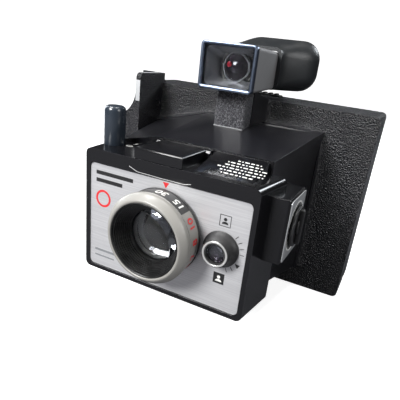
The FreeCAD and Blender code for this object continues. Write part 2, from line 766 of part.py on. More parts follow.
def make_release():
    """Tall push post with a stem, its return spring, bracket and rocking lever."""
    top = "housing_low + housing_high"
    skirt_low = f"{top} - release_skirt"
    post = rod("release_post", "z", (*RELEASE, skirt_low), "release_r",
               f"release_top - ({skirt_low})")
    post = round_edges("release_rounded", post, "wall / 2",
                       lambda edge, at: at.z > number("release_top") - NEAR)
    stem = rod("release_stem", "z", (*RELEASE, "stem_low"), "release_stem_r",
               f"{skirt_low} - stem_low + wall")
    part("shutter_release", fuse("shutter_release_solid", post, stem))

    bracket = block("bracket_blank", ("-release_out - release_stem_r - bracket_side", "-lever_pivot_out + wall"),
                    ("-shutter_ahead + shutter_thick", "-release_ahead + 2 * wall"),
                    ("bracket_top - bracket_thick", "bracket_top"))
    hole = rod("bracket_hole", "z", (*RELEASE, "bracket_top - wall"),
               "release_stem_r + running_gap", "2 * wall")
    part("release_bracket", cut("release_bracket_solid", bracket, hole))

    height = f"{skirt_low} - bracket_top"
    helix = doc.addObject("Part::Helix", "spring_helix")
    helix.setExpression("Height", bound(f"{height} - 2 * spring_wire_r"))
    helix.setExpression("Pitch", bound(f"({height} - 2 * spring_wire_r) / spring_turns"))
    helix.setExpression("Radius", bound("release_stem_r + 3 * spring_wire_r"))
    place(helix, *RELEASE, "bracket_top + spring_wire_r")
    wire = doc.addObject("Part::Circle", "spring_wire")
    wire.Placement = FreeCAD.Placement(FreeCAD.Vector(),
                                       FreeCAD.Rotation(FreeCAD.Vector(1, 0, 0), 90))
    wire.setExpression("Radius", bound("spring_wire_r"))
    place(wire, "-release_out + release_stem_r + 3 * spring_wire_r", "-release_ahead",
          "bracket_top + spring_wire_r")
    coil = doc.addObject("Part::Sweep", "release_spring_solid")
    doc.recompute()
    coil.Sections = [wire]
    coil.Spine = (helix, ["Edge1"])
    coil.Solid = True
    coil.Frenet = True
    part("release_spring", coil)

    low = "stem_low - seat_gap - lever_wide"
    bar = block("lever_bar", ("-release_out - lever_tail", "-blade_pivot_out"),
                ("-release_ahead - lever_thick / 2", "-release_ahead + lever_thick / 2"),
                (low, "stem_low - seat_gap"))
    hole = rod("lever_hole", "y", ("-lever_pivot_out", "-release_ahead - wall",
                                   "stem_low - seat_gap - lever_wide / 2"),
               "blade_pin_r + running_gap", "2 * wall")
    part("release_lever", cut("release_lever_solid", bar, hole))
    part("lever_pin", rod("lever_pin_solid", "y", ("-lever_pivot_out", "-shutter_ahead + shutter_thick",
                                                   "stem_low - seat_gap - lever_wide / 2"),
                          "blade_pin_r", "shutter_ahead - shutter_thick - release_ahead + lever_tail"))


# ---------------------------------------------------------------- exposure knob


VANE_SHARES = (0.34, 0.26, 0.18)


def make_exposure_knob():
    """Flared knob around the electric eye, with a bright ring and a graded vane."""
    part("exposure_knob", turned("exposure_knob_turned", [
        ("knob_bore", "-knob_front_ahead"),
        ("knob_front_r", "-knob_front_ahead"),
        ("knob_front_r + knob_flare", "-knob_back_ahead - knob_skirt"),
        ("knob_back_r", "-knob_back_ahead"),
        ("knob_hub_r", "-knob_back_ahead"),
        ("knob_hub_r", "-housing_ahead + housing_front_wall + 2 * vane_thick"),
        ("knob_bore", "-housing_ahead + housing_front_wall + 2 * vane_thick"),
    ], x="knob_out", z="lens_high"))
    part("knob_trim", turned("knob_trim_turned", [
        ("knob_bore", "-knob_front_ahead - trim_thick"),
        ("trim_r", "-knob_front_ahead - trim_thick"),
        ("trim_r", "-knob_front_ahead"),
        ("knob_bore", "-knob_front_ahead"),
    ], x="knob_out", z="lens_high"))
    vane_y = "-housing_ahead + housing_front_wall + 2 * vane_thick"
    disc = rod("vane_disc", "y", ("knob_out", vane_y, "lens_high"), "knob_hub_r", "vane_thick")
    holes = []
    for index, share in enumerate(VANE_SHARES):
        turn = 120 * index
        holes.append(rod("vane_hole", "y",
                         (f"knob_out + knob_bore / 2 * cos({turn} deg)", f"{vane_y} - wall",
                          f"lens_high + knob_bore / 2 * sin({turn} deg)"),
                         f"knob_bore * {share}", "2 * wall"))
    part("exposure_vane", cut("exposure_vane_solid", disc, *holes))
    part("eye_window", rod("eye_window_solid", "y", ("knob_out", "-eye_window_ahead", "lens_high"),
                           "eye_window_r", f"eye_window_ahead + ({vane_y}) - seat_gap"))
    cell_y = f"{vane_y} + vane_thick + release_gap"
    part("photocell", rod("photocell_solid", "y", ("knob_out", cell_y, "lens_high"),
                          "photocell_r", "photocell_long"))
    holder = block("holder_blank", ("knob_out - knob_hub_r", "knob_out + knob_hub_r"),
                   (f"{cell_y} + photocell_long", f"{cell_y} + photocell_long + wall / 2"),
                   ("lens_high - sleeve_r", "lens_high + sleeve_r"))
    part("photocell_board", holder)


# ---------------------------------------------------------------- flash

FLASH_MIDDLE = ("(flash_to - flash_from) / 2", "-(well_front_ahead + flash_back_ahead) / 2")


def make_flash():
    """Well with a turning cube socket under a hinged cover."""
    top = "housing_low + housing_high"
    x, y = flash_outline("well_front_ahead", "0")
    well = block("well_outside", x, y, ("well_low", top))
    room = block("well_room", (f"{x[0]} + flash_wall", f"{x[1]} - flash_wall"),
                 (f"{y[0]} + flash_wall", f"{y[1]} - flash_wall"), ("well_low + flash_wall", f"{top} + wall"))
    shaft_way = rod("well_shaft_way", "z", (*FLASH_MIDDLE, "well_low - wall"),
                    "socket_shaft_r + running_gap", "3 * wall")
    part("flash_well", cut("flash_well_solid", well, room, shaft_way))

    drum = rod("socket_drum", "z", (*FLASH_MIDDLE, "socket_low"), "socket_r", "socket_high")
    shaft = rod("socket_shaft", "z", (*FLASH_MIDDLE, "well_low - wall"), "socket_shaft_r",
                "socket_low - well_low + 2 * wall")
    hole = rod("socket_hole", "z", (*FLASH_MIDDLE, "socket_low + wall"), "socket_hole_r",
               "socket_high")
    prongs = []
    for index in range(4):
        turn = 45 + 90 * index
        prongs.append(rod("prong_way", "z",
                          (f"{FLASH_MIDDLE[0]} + prong_out * cos({turn} deg)",
                           f"{FLASH_MIDDLE[1]} + prong_out * sin({turn} deg)",
                           "socket_low + wall"), "prong_r", "socket_high"))
    part("flash_socket", cut("flash_socket_solid", fuse("socket_whole", drum, shaft), hole, *prongs))

    x, y = flash_outline("flash_front_ahead", "0")
    cover_low = f"{top} + parting_gap"
    pin_y = "-flash_back_ahead - flash_knuckle_r"
    length = "flash_from + flash_to"
    cover = block("cover_outside", x, (y[0], pin_y), (cover_low, "flash_top"))
    cover = round_edges("cover_rounded", cover, "flash_wall / 2",
                        lambda edge, at: at.z > number("flash_top") - NEAR
                        and at.y < number(pin_y) - NEAR)
    knuckle = rod("cover_knuckle", "x", (x[0], pin_y, "flash_pin_high"), "flash_knuckle_r", length)
    inside = block("cover_inside", (f"{x[0]} + flash_wall", f"{x[1]} - flash_wall"),
                   (f"{y[0]} + flash_wall", f"{pin_y} - flash_knuckle_r"),
                   (f"{cover_low} - wall", "flash_top - flash_wall"))
    heel = block("cover_heel", (f"{x[0]} - wall", f"{x[1]} + wall"),
                 (f"{pin_y} - flash_knuckle_r", f"{pin_y} + wall"),
                 (f"{cover_low} - wall", "flash_pin_high - flash_knuckle_r"))
    pin_hole = rod("cover_pin_hole", "x", (f"{x[0]} - wall", pin_y, "flash_pin_high"),
                   "flash_pin_r + running_gap", f"{length} + 2 * wall")
    part("flash_cover", cut("flash_cover_solid", fuse("cover_hinged", cover, knuckle),
                            inside, pin_hole, heel))
    part("flash_pin", rod("flash_pin_solid", "x",
                          (f"{x[0]} - parting_gap - flash_lug_long", pin_y, "flash_pin_high"),
                          "flash_pin_r", f"{length} + 2 * parting_gap + 2 * flash_lug_long"))


# ---------------------------------------------------------------- timer

TIMER_Y = "-(timer_front_ahead + timer_back_ahead) / 2"
TIMER_Z = "timer_low + timer_high / 2"
TIMER_MESH = "(timer_wheel_r + timer_pinion_r + seat_gap)"


def make_timer():
    """Side box with a face, a turning grip knob and a clockwork pair of wheels."""
    case = block("timer_outside", ("timer_in", "timer_out"),
                 ("-timer_front_ahead", "-timer_back_ahead"), ("timer_low", "timer_low + timer_high"))
    case = round_edges("timer_rounded", case, "timer_wall",
                       lambda edge, at: at.x > number("timer_out") - NEAR)
    room = block("timer_room", ("timer_in + timer_wall", "timer_out - timer_wall"),
                 ("-timer_front_ahead + timer_wall", "-timer_back_ahead - timer_wall"),
                 ("timer_low + timer_wall", "timer_low + timer_high - timer_wall"))
    arbor_way = rod("arbor_way", "x", ("timer_in + timer_wall", TIMER_Y, TIMER_Z),
                    "timer_arbor_r + running_gap", "timer_out - timer_in")
    part("timer_case", cut("timer_case_solid", case, room, arbor_way))

    inset = "2 * timer_wall"
    face = block("timer_face_blank", ("timer_out", "timer_out + timer_face_thick"),
                 (f"-timer_front_ahead + {inset}", f"-timer_back_ahead - {inset}"),
                 (f"timer_low + {inset}", f"timer_low + timer_high - {inset}"))
    hole = rod("timer_face_hole", "x", ("timer_out - wall", TIMER_Y, TIMER_Z),
               "timer_arbor_r + running_gap", "2 * wall")
    part("timer_face", cut("timer_face_solid", face, hole))

    face_x = "timer_out + timer_face_thick + release_gap"
    disc = rod("knob_disc", "x", (face_x, TIMER_Y, TIMER_Z), "timer_dial_r", "timer_wall")
    bar = block("knob_bar", (face_x, f"{face_x} + timer_grip_high"),
                (f"{TIMER_Y} - timer_wall", f"{TIMER_Y} + timer_wall"),
                (f"{TIMER_Z} - timer_grip_half", f"{TIMER_Z} + timer_grip_half"))
    arbor = rod("knob_arbor", "x", ("timer_in + 2 * timer_wall", TIMER_Y, TIMER_Z),
                "timer_arbor_r", f"{face_x} - timer_in - timer_wall")
    part("timer_knob", fuse("timer_knob_solid", disc, bar, arbor))

    wheel_x = "timer_in + 3 * timer_wall"
    wheel = rod("wheel_disc", "x", (wheel_x, TIMER_Y, TIMER_Z), "timer_wheel_r", "timer_wheel_thick")
    bore = rod("wheel_bore", "x", (f"{wheel_x} - wall", TIMER_Y, TIMER_Z), "timer_arbor_r", "3 * wall")
    part("timer_wheel", cut("timer_wheel_solid", wheel, bore))
    pinion = rod("pinion_disc", "x", (wheel_x, TIMER_Y, f"{TIMER_Z} - {TIMER_MESH}"),
                 "timer_pinion_r", "timer_wheel_thick")
    staff = rod("pinion_staff", "x", ("timer_in + timer_wall + seat_gap", TIMER_Y,
                                      f"{TIMER_Z} - {TIMER_MESH}"),
                "timer_arbor_r / 2", "timer_out - timer_in - 2 * timer_wall - 2 * seat_gap")
    part("timer_escape", fuse("timer_escape_solid", pinion, staff))


# ---------------------------------------------------------------- viewfinder

FINDER_TOP = "finder_low + finder_high"


def make_finder():
    """Bright front frame, grey tapering tube, two lenses, eyecup and stalk."""
    frame_y = ("-finder_front_ahead", "-finder_front_ahead + finder_frame_deep")
    outer = block("finder_frame_out", ("-finder_half", "finder_half"), frame_y,
                  ("finder_low", FINDER_TOP))
    opening = block("finder_frame_in",
                    ("-finder_half + finder_frame_wide", "finder_half - finder_frame_wide"),
                    (f"{frame_y[0]} - wall", f"{frame_y[1]} + wall"),
                    ("finder_low + finder_frame_wide", f"{FINDER_TOP} - finder_frame_wide"))
    part("finder_frame", cut("finder_frame_solid", outer, opening))

    tube_y = (frame_y[1], "-finder_back_ahead")
    back_top = "finder_back_low + finder_back_high"

    def tube(name, inset, reach):
        return frustum(name, (f"{tube_y[0]} - {reach}", f"{tube_y[1]} + {reach}"),
                       (f"-finder_half + finder_step + {inset}", f"finder_half - finder_step - {inset}",
                        f"finder_low + finder_step + {inset}", f"{FINDER_TOP} - finder_step - {inset}"),
                       (f"-finder_back_half + {inset}", f"finder_back_half - {inset}",
                        f"finder_back_low + {inset}", f"{back_top} - {inset}"))

    part("finder_tube", cut("finder_tube_solid", tube("finder_tube_out", "0", "0"),
                            tube("finder_tube_in", "finder_wall", "seat_gap")))

    def pane(name, y, half, low, high):
        glass = block(name + "_blank", (f"-({half}) + seat_gap", f"{half} - seat_gap"),
                      (y, f"{y} + finder_glass_thick"), (f"{low} + seat_gap", f"{high} - seat_gap"))
        part(name, glass)

    pane("finder_front_lens", "-finder_front_ahead + finder_frame_deep - finder_glass_thick",
         "finder_half - finder_frame_wide", "finder_low + finder_frame_wide",
         f"{FINDER_TOP} - finder_frame_wide")
    pane("finder_eye_lens", "-finder_back_ahead - 2 * finder_glass_thick",
         "finder_back_half - finder_wall - release_gap", "finder_back_low + finder_wall + release_gap",
         f"{back_top} - finder_wall - release_gap")

    cup_y = ("-eyecup_neck_ahead", "eyecup_back")
    cup_neck = ("-finder_back_half - eyecup_gap - eyecup_wall",
                "finder_back_half + eyecup_gap + eyecup_wall",
                "eyecup_low", f"{back_top} + eyecup_gap + eyecup_wall")
    cup_rim = ("-eyecup_left", "eyecup_right", "eyecup_low", "eyecup_low + eyecup_high")
    cup = frustum("eyecup_outside", cup_y, cup_neck, cup_rim)
    cup = round_edges("eyecup_rounded", cup, "edge_round",
                      lambda edge, at: abs(edge.tangentAt(edge.FirstParameter).y) > SLANTED)
    hollow_front = "-finder_back_ahead"
    hollow = frustum("eyecup_inside", (hollow_front, "eyecup_back + running_gap"),
                     ("-finder_back_half", "finder_back_half",
                      "eyecup_low + eyecup_wall", back_top),
                     ("-eyecup_left + eyecup_wall", "eyecup_right - eyecup_wall",
                      "eyecup_low + eyecup_wall", "eyecup_low + eyecup_high - eyecup_wall"))
    socket = block("eyecup_socket", ("-finder_back_half - eyecup_gap", "finder_back_half + eyecup_gap"),
                   ("-eyecup_neck_ahead - wall", f"{hollow_front} + running_gap"),
                   ("eyecup_low - wall", f"{back_top} + eyecup_gap"))
    part("eyecup", cut("eyecup_solid", cup, hollow, socket))

    rise = "(cone_top_back - cone_top_front) / (cone_ahead - flange_ahead)"
    front_z = f"cone_top_back - {rise} * (stalk_ahead - flange_ahead)"
    back_z = f"cone_top_back - {rise} * (stalk_ahead - stalk_thick - flange_ahead)"
    side = [("-stalk_ahead", front_z), ("-stalk_ahead + stalk_thick", back_z),
            ("-stalk_ahead + stalk_thick", "finder_low"), ("-stalk_ahead", "finder_low")]
    stalk = padded("finder_stalk_pad", "YZ_Plane", "0 - stalk_half", side, "2 * stalk_half")
    part("finder_stalk", stalk)


# ---------------------------------------------------------------- back door


def make_back_door():
    """Shallow tray with hinge knuckles, a film slot and a latch track."""
    tray = block("door_outside", (f"-{HALF}", HALF), ("parting_back + parting_gap", "door_back"),
                 ("0", "flange_high"))
    tray = round_edges("door_rounded", tray, "edge_round",
                       lambda edge, at: abs(edge.tangentAt(edge.FirstParameter).y) > ALONG
                       or at.y > number("door_back") - NEAR)
    room = block("door_room", (f"-{HALF} + wall", f"{HALF} - wall"),
                 ("parting_back - wall", "door_back - wall"), ("wall", "flange_high - wall"))
    shell = cut("door_shell", tray, room)
    sill = block("door_sill", (f"-{HALF} + wall / 2", f"{HALF} - wall / 2"),
                 ("parting_back + parting_gap", "parting_back + notch_deep + wall"),
                 ("wall / 2", "notch_high + wall"))
    notch = block("door_notch", (f"-{HALF} - wall", f"{HALF} + wall"),
                  ("parting_back - wall", "parting_back + notch_deep"), ("-wall", "notch_high"))
    slot = block("door_slot", (f"-{HALF} - wall", f"-{HALF} + 2 * wall"),
                 ("roller_nip_back - slot_wide / 2", "roller_nip_back + slot_wide / 2"),
                 ("roller_low", "roller_low + roller_long"))
    notched = cut("door_notched", fuse("door_filled", shell, sill), notch, slot)
    hinged = fuse("door_hinged", notched, *make_knuckles("door_knuckle", "knuckle_inner", 1))
    track = block("latch_track", ("-latch_long / 2 - seat_gap", "latch_long / 2 + latch_travel + seat_gap"),
                  ("parting_back + 2 * parting_gap + wall / 2 - seat_gap",
                   "parting_back + 2 * parting_gap + wall / 2 + latch_wide + seat_gap"),
                  ("flange_high - latch_thick / 2", "flange_high + wall"))
    part("back_door", cut("back_door_solid", hinged, make_pin_hole("door_pin_hole"), track))
    reach = "knuckle_inner + 2 * knuckle_long + knuckle_gap"
    part("door_hinge_pin", rod("door_hinge_pin_solid", "x", (f"-({reach})", "parting_back", "hinge_high"),
                               "hinge_pin_r", f"2 * ({reach})"))
    latch = block("latch_plate", ("-latch_long / 2", "latch_long / 2"),
                  ("parting_back + 2 * parting_gap + wall / 2",
                   "parting_back + 2 * parting_gap + wall / 2 + latch_wide"),
                  ("flange_high - latch_thick / 2", "flange_high + latch_thick / 2"))
    ridges = []
    for index in range(5):
        start = f"-latch_long / 2 + latch_long * {2 * index + 1} / 11"
        ridges.append(block("latch_ridge", (start, f"{start} + latch_long / 11"),
                            ("parting_back + wall", "parting_back + latch_wide"),
                            ("flange_high", "flange_high + latch_thick")))
    part("door_latch", fuse("door_latch_solid", latch, *ridges))

    leaves = []
    for out in (-1, 1):
        middle = f"{out} * pack_half / 2"
        leaves.append(block("leaf", (f"{middle} - latch_wide", f"{middle} + latch_wide"),
                            ("door_back - wall - leaf_thick", "door_back - wall"),
                            ("lens_high - 3 * latch_wide", "lens_high + 3 * latch_wide")))
    part("pressure_springs", fuse("pressure_springs_solid", *leaves))


# ---------------------------------------------------------------- film path


def make_film_path():
    """Film pack, steel roller frame, two rollers, their springs and the cells."""
    pack = block("pack_box", ("-pack_half", "pack_half"), ("-pack_ahead", "pack_thick - pack_ahead"),
                 ("pack_low", "pack_low + pack_high"))
    pack = round_edges("pack_rounded", pack, "wall / 2",
                       lambda edge, at: abs(edge.tangentAt(edge.FirstParameter).y) > ALONG)
    window = block("pack_window", ("-image_half_wide", "image_half_wide"),
                   ("-pack_ahead - wall", "0"),
                   ("lens_high - image_half_high", "lens_high + image_half_high"))
    part("film_pack", cut("film_pack_solid", pack, window))

    low = "roller_low - frame_thick - release_gap"
    high = "roller_low + roller_long + frame_thick + release_gap"
    spread = "2 * roller_r + roller_nip / 2 + release_gap"
    frame_x = ("-roller_out - frame_half_wide", "-roller_out + frame_half_wide")
    y = (f"roller_nip_back - ({spread})", f"roller_nip_back + {spread}")
    whole = block("frame_whole", frame_x, y, (low, high))
    inside = block("frame_inside", (f"{frame_x[0]} - wall", f"{frame_x[1]} - frame_thick / 2"),
                   (f"{y[0]} - wall", f"{y[1]} + wall"),
                   (f"{low} + frame_thick", f"{high} - frame_thick"))
    slot = block("frame_slot", (f"{frame_x[1]} - wall", f"{frame_x[1]} + wall"),
                 ("roller_nip_back - slot_wide / 2", "roller_nip_back + slot_wide / 2"),
                 ("roller_low + wall", "roller_low + roller_long - wall"))
    journals = []
    for name, side in (("roller_front", -1), ("roller_rear", 1)):
        centre = f"roller_nip_back + {side} * (roller_r + roller_nip / 2)"
        barrel = rod(f"{name}_barrel", "z", ("-roller_out", centre, "roller_low"),
                     "roller_r", "roller_long")
        journal = rod(f"{name}_journal", "z", ("-roller_out", centre, low), "journal_r",
                      f"({high}) - ({low})")
        part(name, fuse(f"{name}_solid", barrel, journal))
        journals.append(rod(f"{name}_way", "z", ("-roller_out", centre, f"{low} - wall"),
                            "journal_r + running_gap", f"({high}) - ({low}) + 2 * wall"))
    part("roller_frame", cut("roller_frame_solid", whole, inside, slot, *journals))

    for index, name in enumerate(("battery_low", "battery_high")):
        start = f"battery_low + {index} * (battery_long + wall / 2)"
        can = rod(f"{name}_can", "z", ("battery_out", "-flange_ahead + wall + battery_r + seat_gap", start),
                  "battery_r", "battery_long")
        nub = rod(f"{name}_nub", "z", ("battery_out", "-flange_ahead + wall + battery_r + seat_gap",
                                       f"{start} + battery_long"), "battery_nub_r", "wall / 2")
        part(name, fuse(f"{name}_solid", can, nub))
    plates = []
    for z in ("battery_low - wall / 2", "battery_low + 2 * battery_long + wall"):
        plates.append(block("contact", ("battery_out - contact_half", "battery_out + contact_half"),
                            ("-flange_ahead + wall", "-flange_ahead + wall + 2 * battery_r"),
                            (z, f"{z} + wall / 2")))
    part("battery_contacts", fuse("battery_contacts_solid", *plates))


def make_housing_screws():
    """Four self-tapping screws that pull the housing on to the cone."""
    screws = []
    seat = "-cone_ahead + wall"
    for out, high in BOSSES:
        shank = rod("shank", "y", (out, f"{seat} - screw_long", high), "screw_r", "screw_long")
        head = rod("head", "y", (out, seat, high), "screw_head_r", "screw_head_high")
        screws += [shank, head]
    part("housing_screws", fuse("housing_screws_solid", *screws))


make_rear_shell()
make_cone_node()
make_grip_node()
make_front_housing()
make_face_plate()
make_focus_ring()
make_lens_hood()
domed_disc("front_element", "hood_back_ahead", "front_glass_r", "front_glass_thick", "front_dome_r")
make_lens_sleeve()
make_rear_cell()
make_shutter()
make_release()
make_exposure_knob()
make_flash()
make_timer()
make_finder()
make_back_door()
make_film_path()
make_housing_screws()

doc.recompute()
for item in doc.Objects:
    if "Invalid" in item.State or "Error" in item.State:
        raise RuntimeError(f"{item.Name} failed: {item.State}")
for label, shape in parts.items():
    if shape.Shape.isNull() or not shape.Shape.Solids or not shape.Shape.isValid():
        raise RuntimeError(f"{label} has no valid shape")

os.makedirs("parts", exist_ok=True)
for label, shape in parts.items():
    shape.Shape.exportStep(f"parts/{label}.step")
print(len(parts), "sub-parts written")
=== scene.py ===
"""Looks of the box camera: mouldings, brushed plate, glass, scales and a small studio.

Lengths in the functions below are millimetres; a piece is scaled to metres when it is made.
"""
import json
import math

import bmesh
import bpy
import numpy as np
from mathutils import Matrix, Vector


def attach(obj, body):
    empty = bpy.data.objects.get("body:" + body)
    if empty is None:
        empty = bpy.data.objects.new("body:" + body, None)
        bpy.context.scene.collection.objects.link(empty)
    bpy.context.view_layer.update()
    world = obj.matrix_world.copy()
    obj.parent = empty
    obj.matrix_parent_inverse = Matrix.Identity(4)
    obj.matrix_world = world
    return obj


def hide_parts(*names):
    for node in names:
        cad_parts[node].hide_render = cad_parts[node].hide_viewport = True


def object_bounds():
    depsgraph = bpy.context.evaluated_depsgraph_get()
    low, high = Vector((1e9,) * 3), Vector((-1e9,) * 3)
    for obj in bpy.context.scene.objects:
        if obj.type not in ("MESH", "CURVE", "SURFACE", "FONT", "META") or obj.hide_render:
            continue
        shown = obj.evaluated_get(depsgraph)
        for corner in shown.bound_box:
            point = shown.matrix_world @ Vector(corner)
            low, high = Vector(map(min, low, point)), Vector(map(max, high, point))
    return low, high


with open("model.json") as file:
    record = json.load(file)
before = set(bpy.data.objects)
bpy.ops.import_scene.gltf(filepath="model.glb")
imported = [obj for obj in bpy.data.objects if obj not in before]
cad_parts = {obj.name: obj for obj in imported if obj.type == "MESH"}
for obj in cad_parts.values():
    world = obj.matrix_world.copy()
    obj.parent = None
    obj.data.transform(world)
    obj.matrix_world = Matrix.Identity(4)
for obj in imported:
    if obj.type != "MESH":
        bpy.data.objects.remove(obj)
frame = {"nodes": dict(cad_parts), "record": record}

START_BOUNDS = [list(corner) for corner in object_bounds()]
MM = 0.001
LENS_Z = 54.9
KNOB_X = 30.5
PLATE_Y = -108.2
SHOULDER_Z = 85.9
PANEL_FRONT = -104.0
PANEL_SLOPE = (91.6 - 85.9) / (104.0 - 82.8)
POST_X = -40.6
POST_Y = -93.0
FINDER_LENS = (0.8, 128.3)
CONE_ROOT_Y = -18.8
CONE_TOP = 99.6
CONE_FALL = 8.0 / 62.7
DIAL_X = 55.32
TIMER_Y = -84.15
TIMER_Z = 65.3


# ---- shader groups


def node_group(name, inputs, outputs):
    """A shader group with its sockets, and its entry and exit nodes."""
    tree = bpy.data.node_groups.new(name, "ShaderNodeTree")
    for title, value in inputs:
        socket = tree.interface.new_socket(title, in_out="INPUT", socket_type="NodeSocketFloat")
        socket.default_value = value
    for title, kind in outputs:
        tree.interface.new_socket(title, in_out="OUTPUT", socket_type=kind)
    return tree, tree.nodes.new("NodeGroupInput"), tree.nodes.new("NodeGroupOutput")


def object_place(tree):
    """The object coordinates inside a group or material."""
    return tree.nodes.new("ShaderNodeTexCoord").outputs["Object"]


def calculated(tree, operation, first, second):
    """A math node; each side is a socket or a plain number."""
    node = tree.nodes.new("ShaderNodeMath")
    node.operation = operation
    for index, side in enumerate((first, second)):
        if isinstance(side, (int, float)):
            node.inputs[index].default_value = side
        else:
            tree.links.new(side, node.inputs[index])
    return node.outputs[0]


def ranged(tree, value, low, high, to_low, to_high):
    """A map range node with a smooth step."""
    node = tree.nodes.new("ShaderNodeMapRange")
    node.interpolation_type = "SMOOTHSTEP"
    tree.links.new(value, node.inputs["Value"])
    node.inputs["From Min"].default_value = low
    node.inputs["From Max"].default_value = high
    node.inputs["To Min"].default_value = to_low
    node.inputs["To Max"].default_value = to_high
    return node.outputs["Result"]


def noise_of(tree, scale, detail=2.0):
    """Noise on object coordinates."""
    noise = tree.nodes.new("ShaderNodeTexNoise")
    noise.inputs["Scale"].default_value = scale
    noise.inputs["Detail"].default_value = detail
    tree.links.new(object_place(tree), noise.inputs["Vector"])
    return noise


def raised(tree, entry, leave, height):
    """The group's normal: a bump from a height, with the group's strength and depth."""
    bump = tree.nodes.new("ShaderNodeBump")
    sources = (("Height", height), ("Strength", entry.outputs["Strength"]),
               ("Distance", entry.outputs["Depth"]))
    for title, source in sources:
        tree.links.new(source, bump.inputs[title])
    tree.links.new(bump.outputs["Normal"], leave.inputs["Normal"])


def make_grain_group():
    """Pebbled relief: cell distance plus fine noise, raised as a bump."""
    inputs = (("Scale", 900.0), ("Strength", 0.3), ("Depth", 0.0002))
    outputs = (("Normal", "NodeSocketVector"), ("Height", "NodeSocketFloat"))
    tree, entry, leave = node_group("PebbleGrain", inputs, outputs)
    cells = tree.nodes.new("ShaderNodeTexVoronoi")
    cells.feature = "SMOOTH_F1"
    tree.links.new(object_place(tree), cells.inputs["Vector"])
    noise = noise_of(tree, 700.0, 5.0)
    tree.links.new(entry.outputs["Scale"], cells.inputs["Scale"])
    tree.links.new(calculated(tree, "MULTIPLY", entry.outputs["Scale"], 0.8), noise.inputs["Scale"])
    height = calculated(tree, "ADD", cells.outputs["Distance"], noise.outputs["Fac"])
    raised(tree, entry, leave, height)
    tree.links.new(height, leave.inputs["Height"])
    return tree


def make_brush_group():
    """Straight brushing along X: noise squeezed hard along Z and left long along X."""
    inputs = (("Strength", 0.15), ("Depth", 0.00005))
    outputs = (("Normal", "NodeSocketVector"), ("Streak", "NodeSocketFloat"))
    tree, entry, leave = node_group("StraightBrushing", inputs, outputs)
    stretch = tree.nodes.new("ShaderNodeMapping")
    stretch.inputs["Scale"].default_value = (34.0, 34.0, 3000.0)
    tree.links.new(object_place(tree), stretch.inputs["Vector"])
    noise = noise_of(tree, 1.0, 3.0)
    tree.links.new(stretch.outputs["Vector"], noise.inputs["Vector"])
    raised(tree, entry, leave, noise.outputs["Fac"])
    tree.links.new(noise.outputs["Fac"], leave.inputs["Streak"])
    return tree


def make_wear_group():
    """Rubbed edges: how far the normal turns within half a millimetre, broken up by noise."""
    outputs = (("Factor", "NodeSocketFloat"),)
    tree, entry, leave = node_group("EdgeWear", (("Amount", 0.3),), outputs)
    near = tree.nodes.new("ShaderNodeBevel")
    near.samples = 6
    near.inputs["Radius"].default_value = 0.0005
    turned_by = tree.nodes.new("ShaderNodeVectorMath")
    turned_by.operation = "DOT_PRODUCT"
    tree.links.new(near.outputs["Normal"], turned_by.inputs[0])
    tree.links.new(tree.nodes.new("ShaderNodeNewGeometry").outputs["Normal"], turned_by.inputs[1])
    edge = ranged(tree, turned_by.outputs["Value"], 0.86, 0.985, 1.0, 0.0)
    patches = ranged(tree, noise_of(tree, 260.0).outputs["Fac"], 0.4, 0.65, 0.0, 1.0)
    broken = calculated(tree, "MULTIPLY", edge, patches)
    factor = calculated(tree, "MULTIPLY", broken, entry.outputs["Amount"])
    tree.links.new(factor, leave.inputs["Factor"])
    return tree


def make_dust_group():
    """Thin dust that lies on surfaces facing up, in soft patches."""
    outputs = (("Factor", "NodeSocketFloat"),)
    tree, entry, leave = node_group("Dust", (("Amount", 0.1),), outputs)
    parts = tree.nodes.new("ShaderNodeSeparateXYZ")
    tree.links.new(tree.nodes.new("ShaderNodeNewGeometry").outputs["Normal"], parts.inputs[0])
    upward = ranged(tree, parts.outputs["Z"], 0.2, 0.95, 0.15, 1.0)
    patches = ranged(tree, noise_of(tree, 70.0, 8.0).outputs["Fac"], 0.35, 0.75, 0.2, 1.0)
    factor = calculated(tree, "MULTIPLY", calculated(tree, "MULTIPLY", upward, patches),
                        entry.outputs["Amount"])
    tree.links.new(factor, leave.inputs["Factor"])
    return tree


GRAIN = make_grain_group()
BRUSH = make_brush_group()
WEAR = make_wear_group()
DUST = make_dust_group()


# ---- materials


def use_group(tree, group, **values):
    """A node that runs a shader group, with its plain inputs set."""
    node = tree.nodes.new("ShaderNodeGroup")
    node.node_tree = group
    for title, value in values.items():
        node.inputs[title].default_value = value
    return node


def mixed_colour(tree, factor, first, second):
    """Mix of two colours; the first may be a socket."""
    node = tree.nodes.new("ShaderNodeMix")
    node.data_type = "RGBA"
    tree.links.new(factor, node.inputs["Factor"])
    if isinstance(first, tuple):
        node.inputs[6].default_value = (*first, 1.0)
    else:
        tree.links.new(first, node.inputs[6])
    node.inputs[7].default_value = (*second, 1.0)
    return node.outputs[2]


def finish_of(name, colour, roughness, metallic=0.0, coat=0.0, worn=(0.3, 0.3, 0.3), wear=0.3,
              dust=0.06, uneven=0.06):
    """A material with worn edges, thin dust and uneven gloss, and its shader."""
    material = bpy.data.materials.new(name)
    material.use_nodes = True
    tree = material.node_tree
    shader = tree.nodes["Principled BSDF"]
    shader.inputs["Metallic"].default_value = metallic
    shader.inputs["Coat Weight"].default_value = coat
    shader.inputs["Coat Roughness"].default_value = 0.06
    wear_and_glint = mixed_colour(tree, use_group(tree, WEAR, Amount=wear).outputs["Factor"], colour, worn)
    dusty = mixed_colour(tree, use_group(tree, DUST, Amount=dust).outputs["Factor"], wear_and_glint,
                         (0.42, 0.40, 0.37))
    tree.links.new(dusty, shader.inputs["Base Color"])
    gloss = ranged(tree, noise_of(tree, 55.0, 6.0).outputs["Fac"], 0.3, 0.7,
                   roughness - uneven / 2, roughness + uneven)
    tree.links.new(gloss, shader.inputs["Roughness"])
    return material, shader


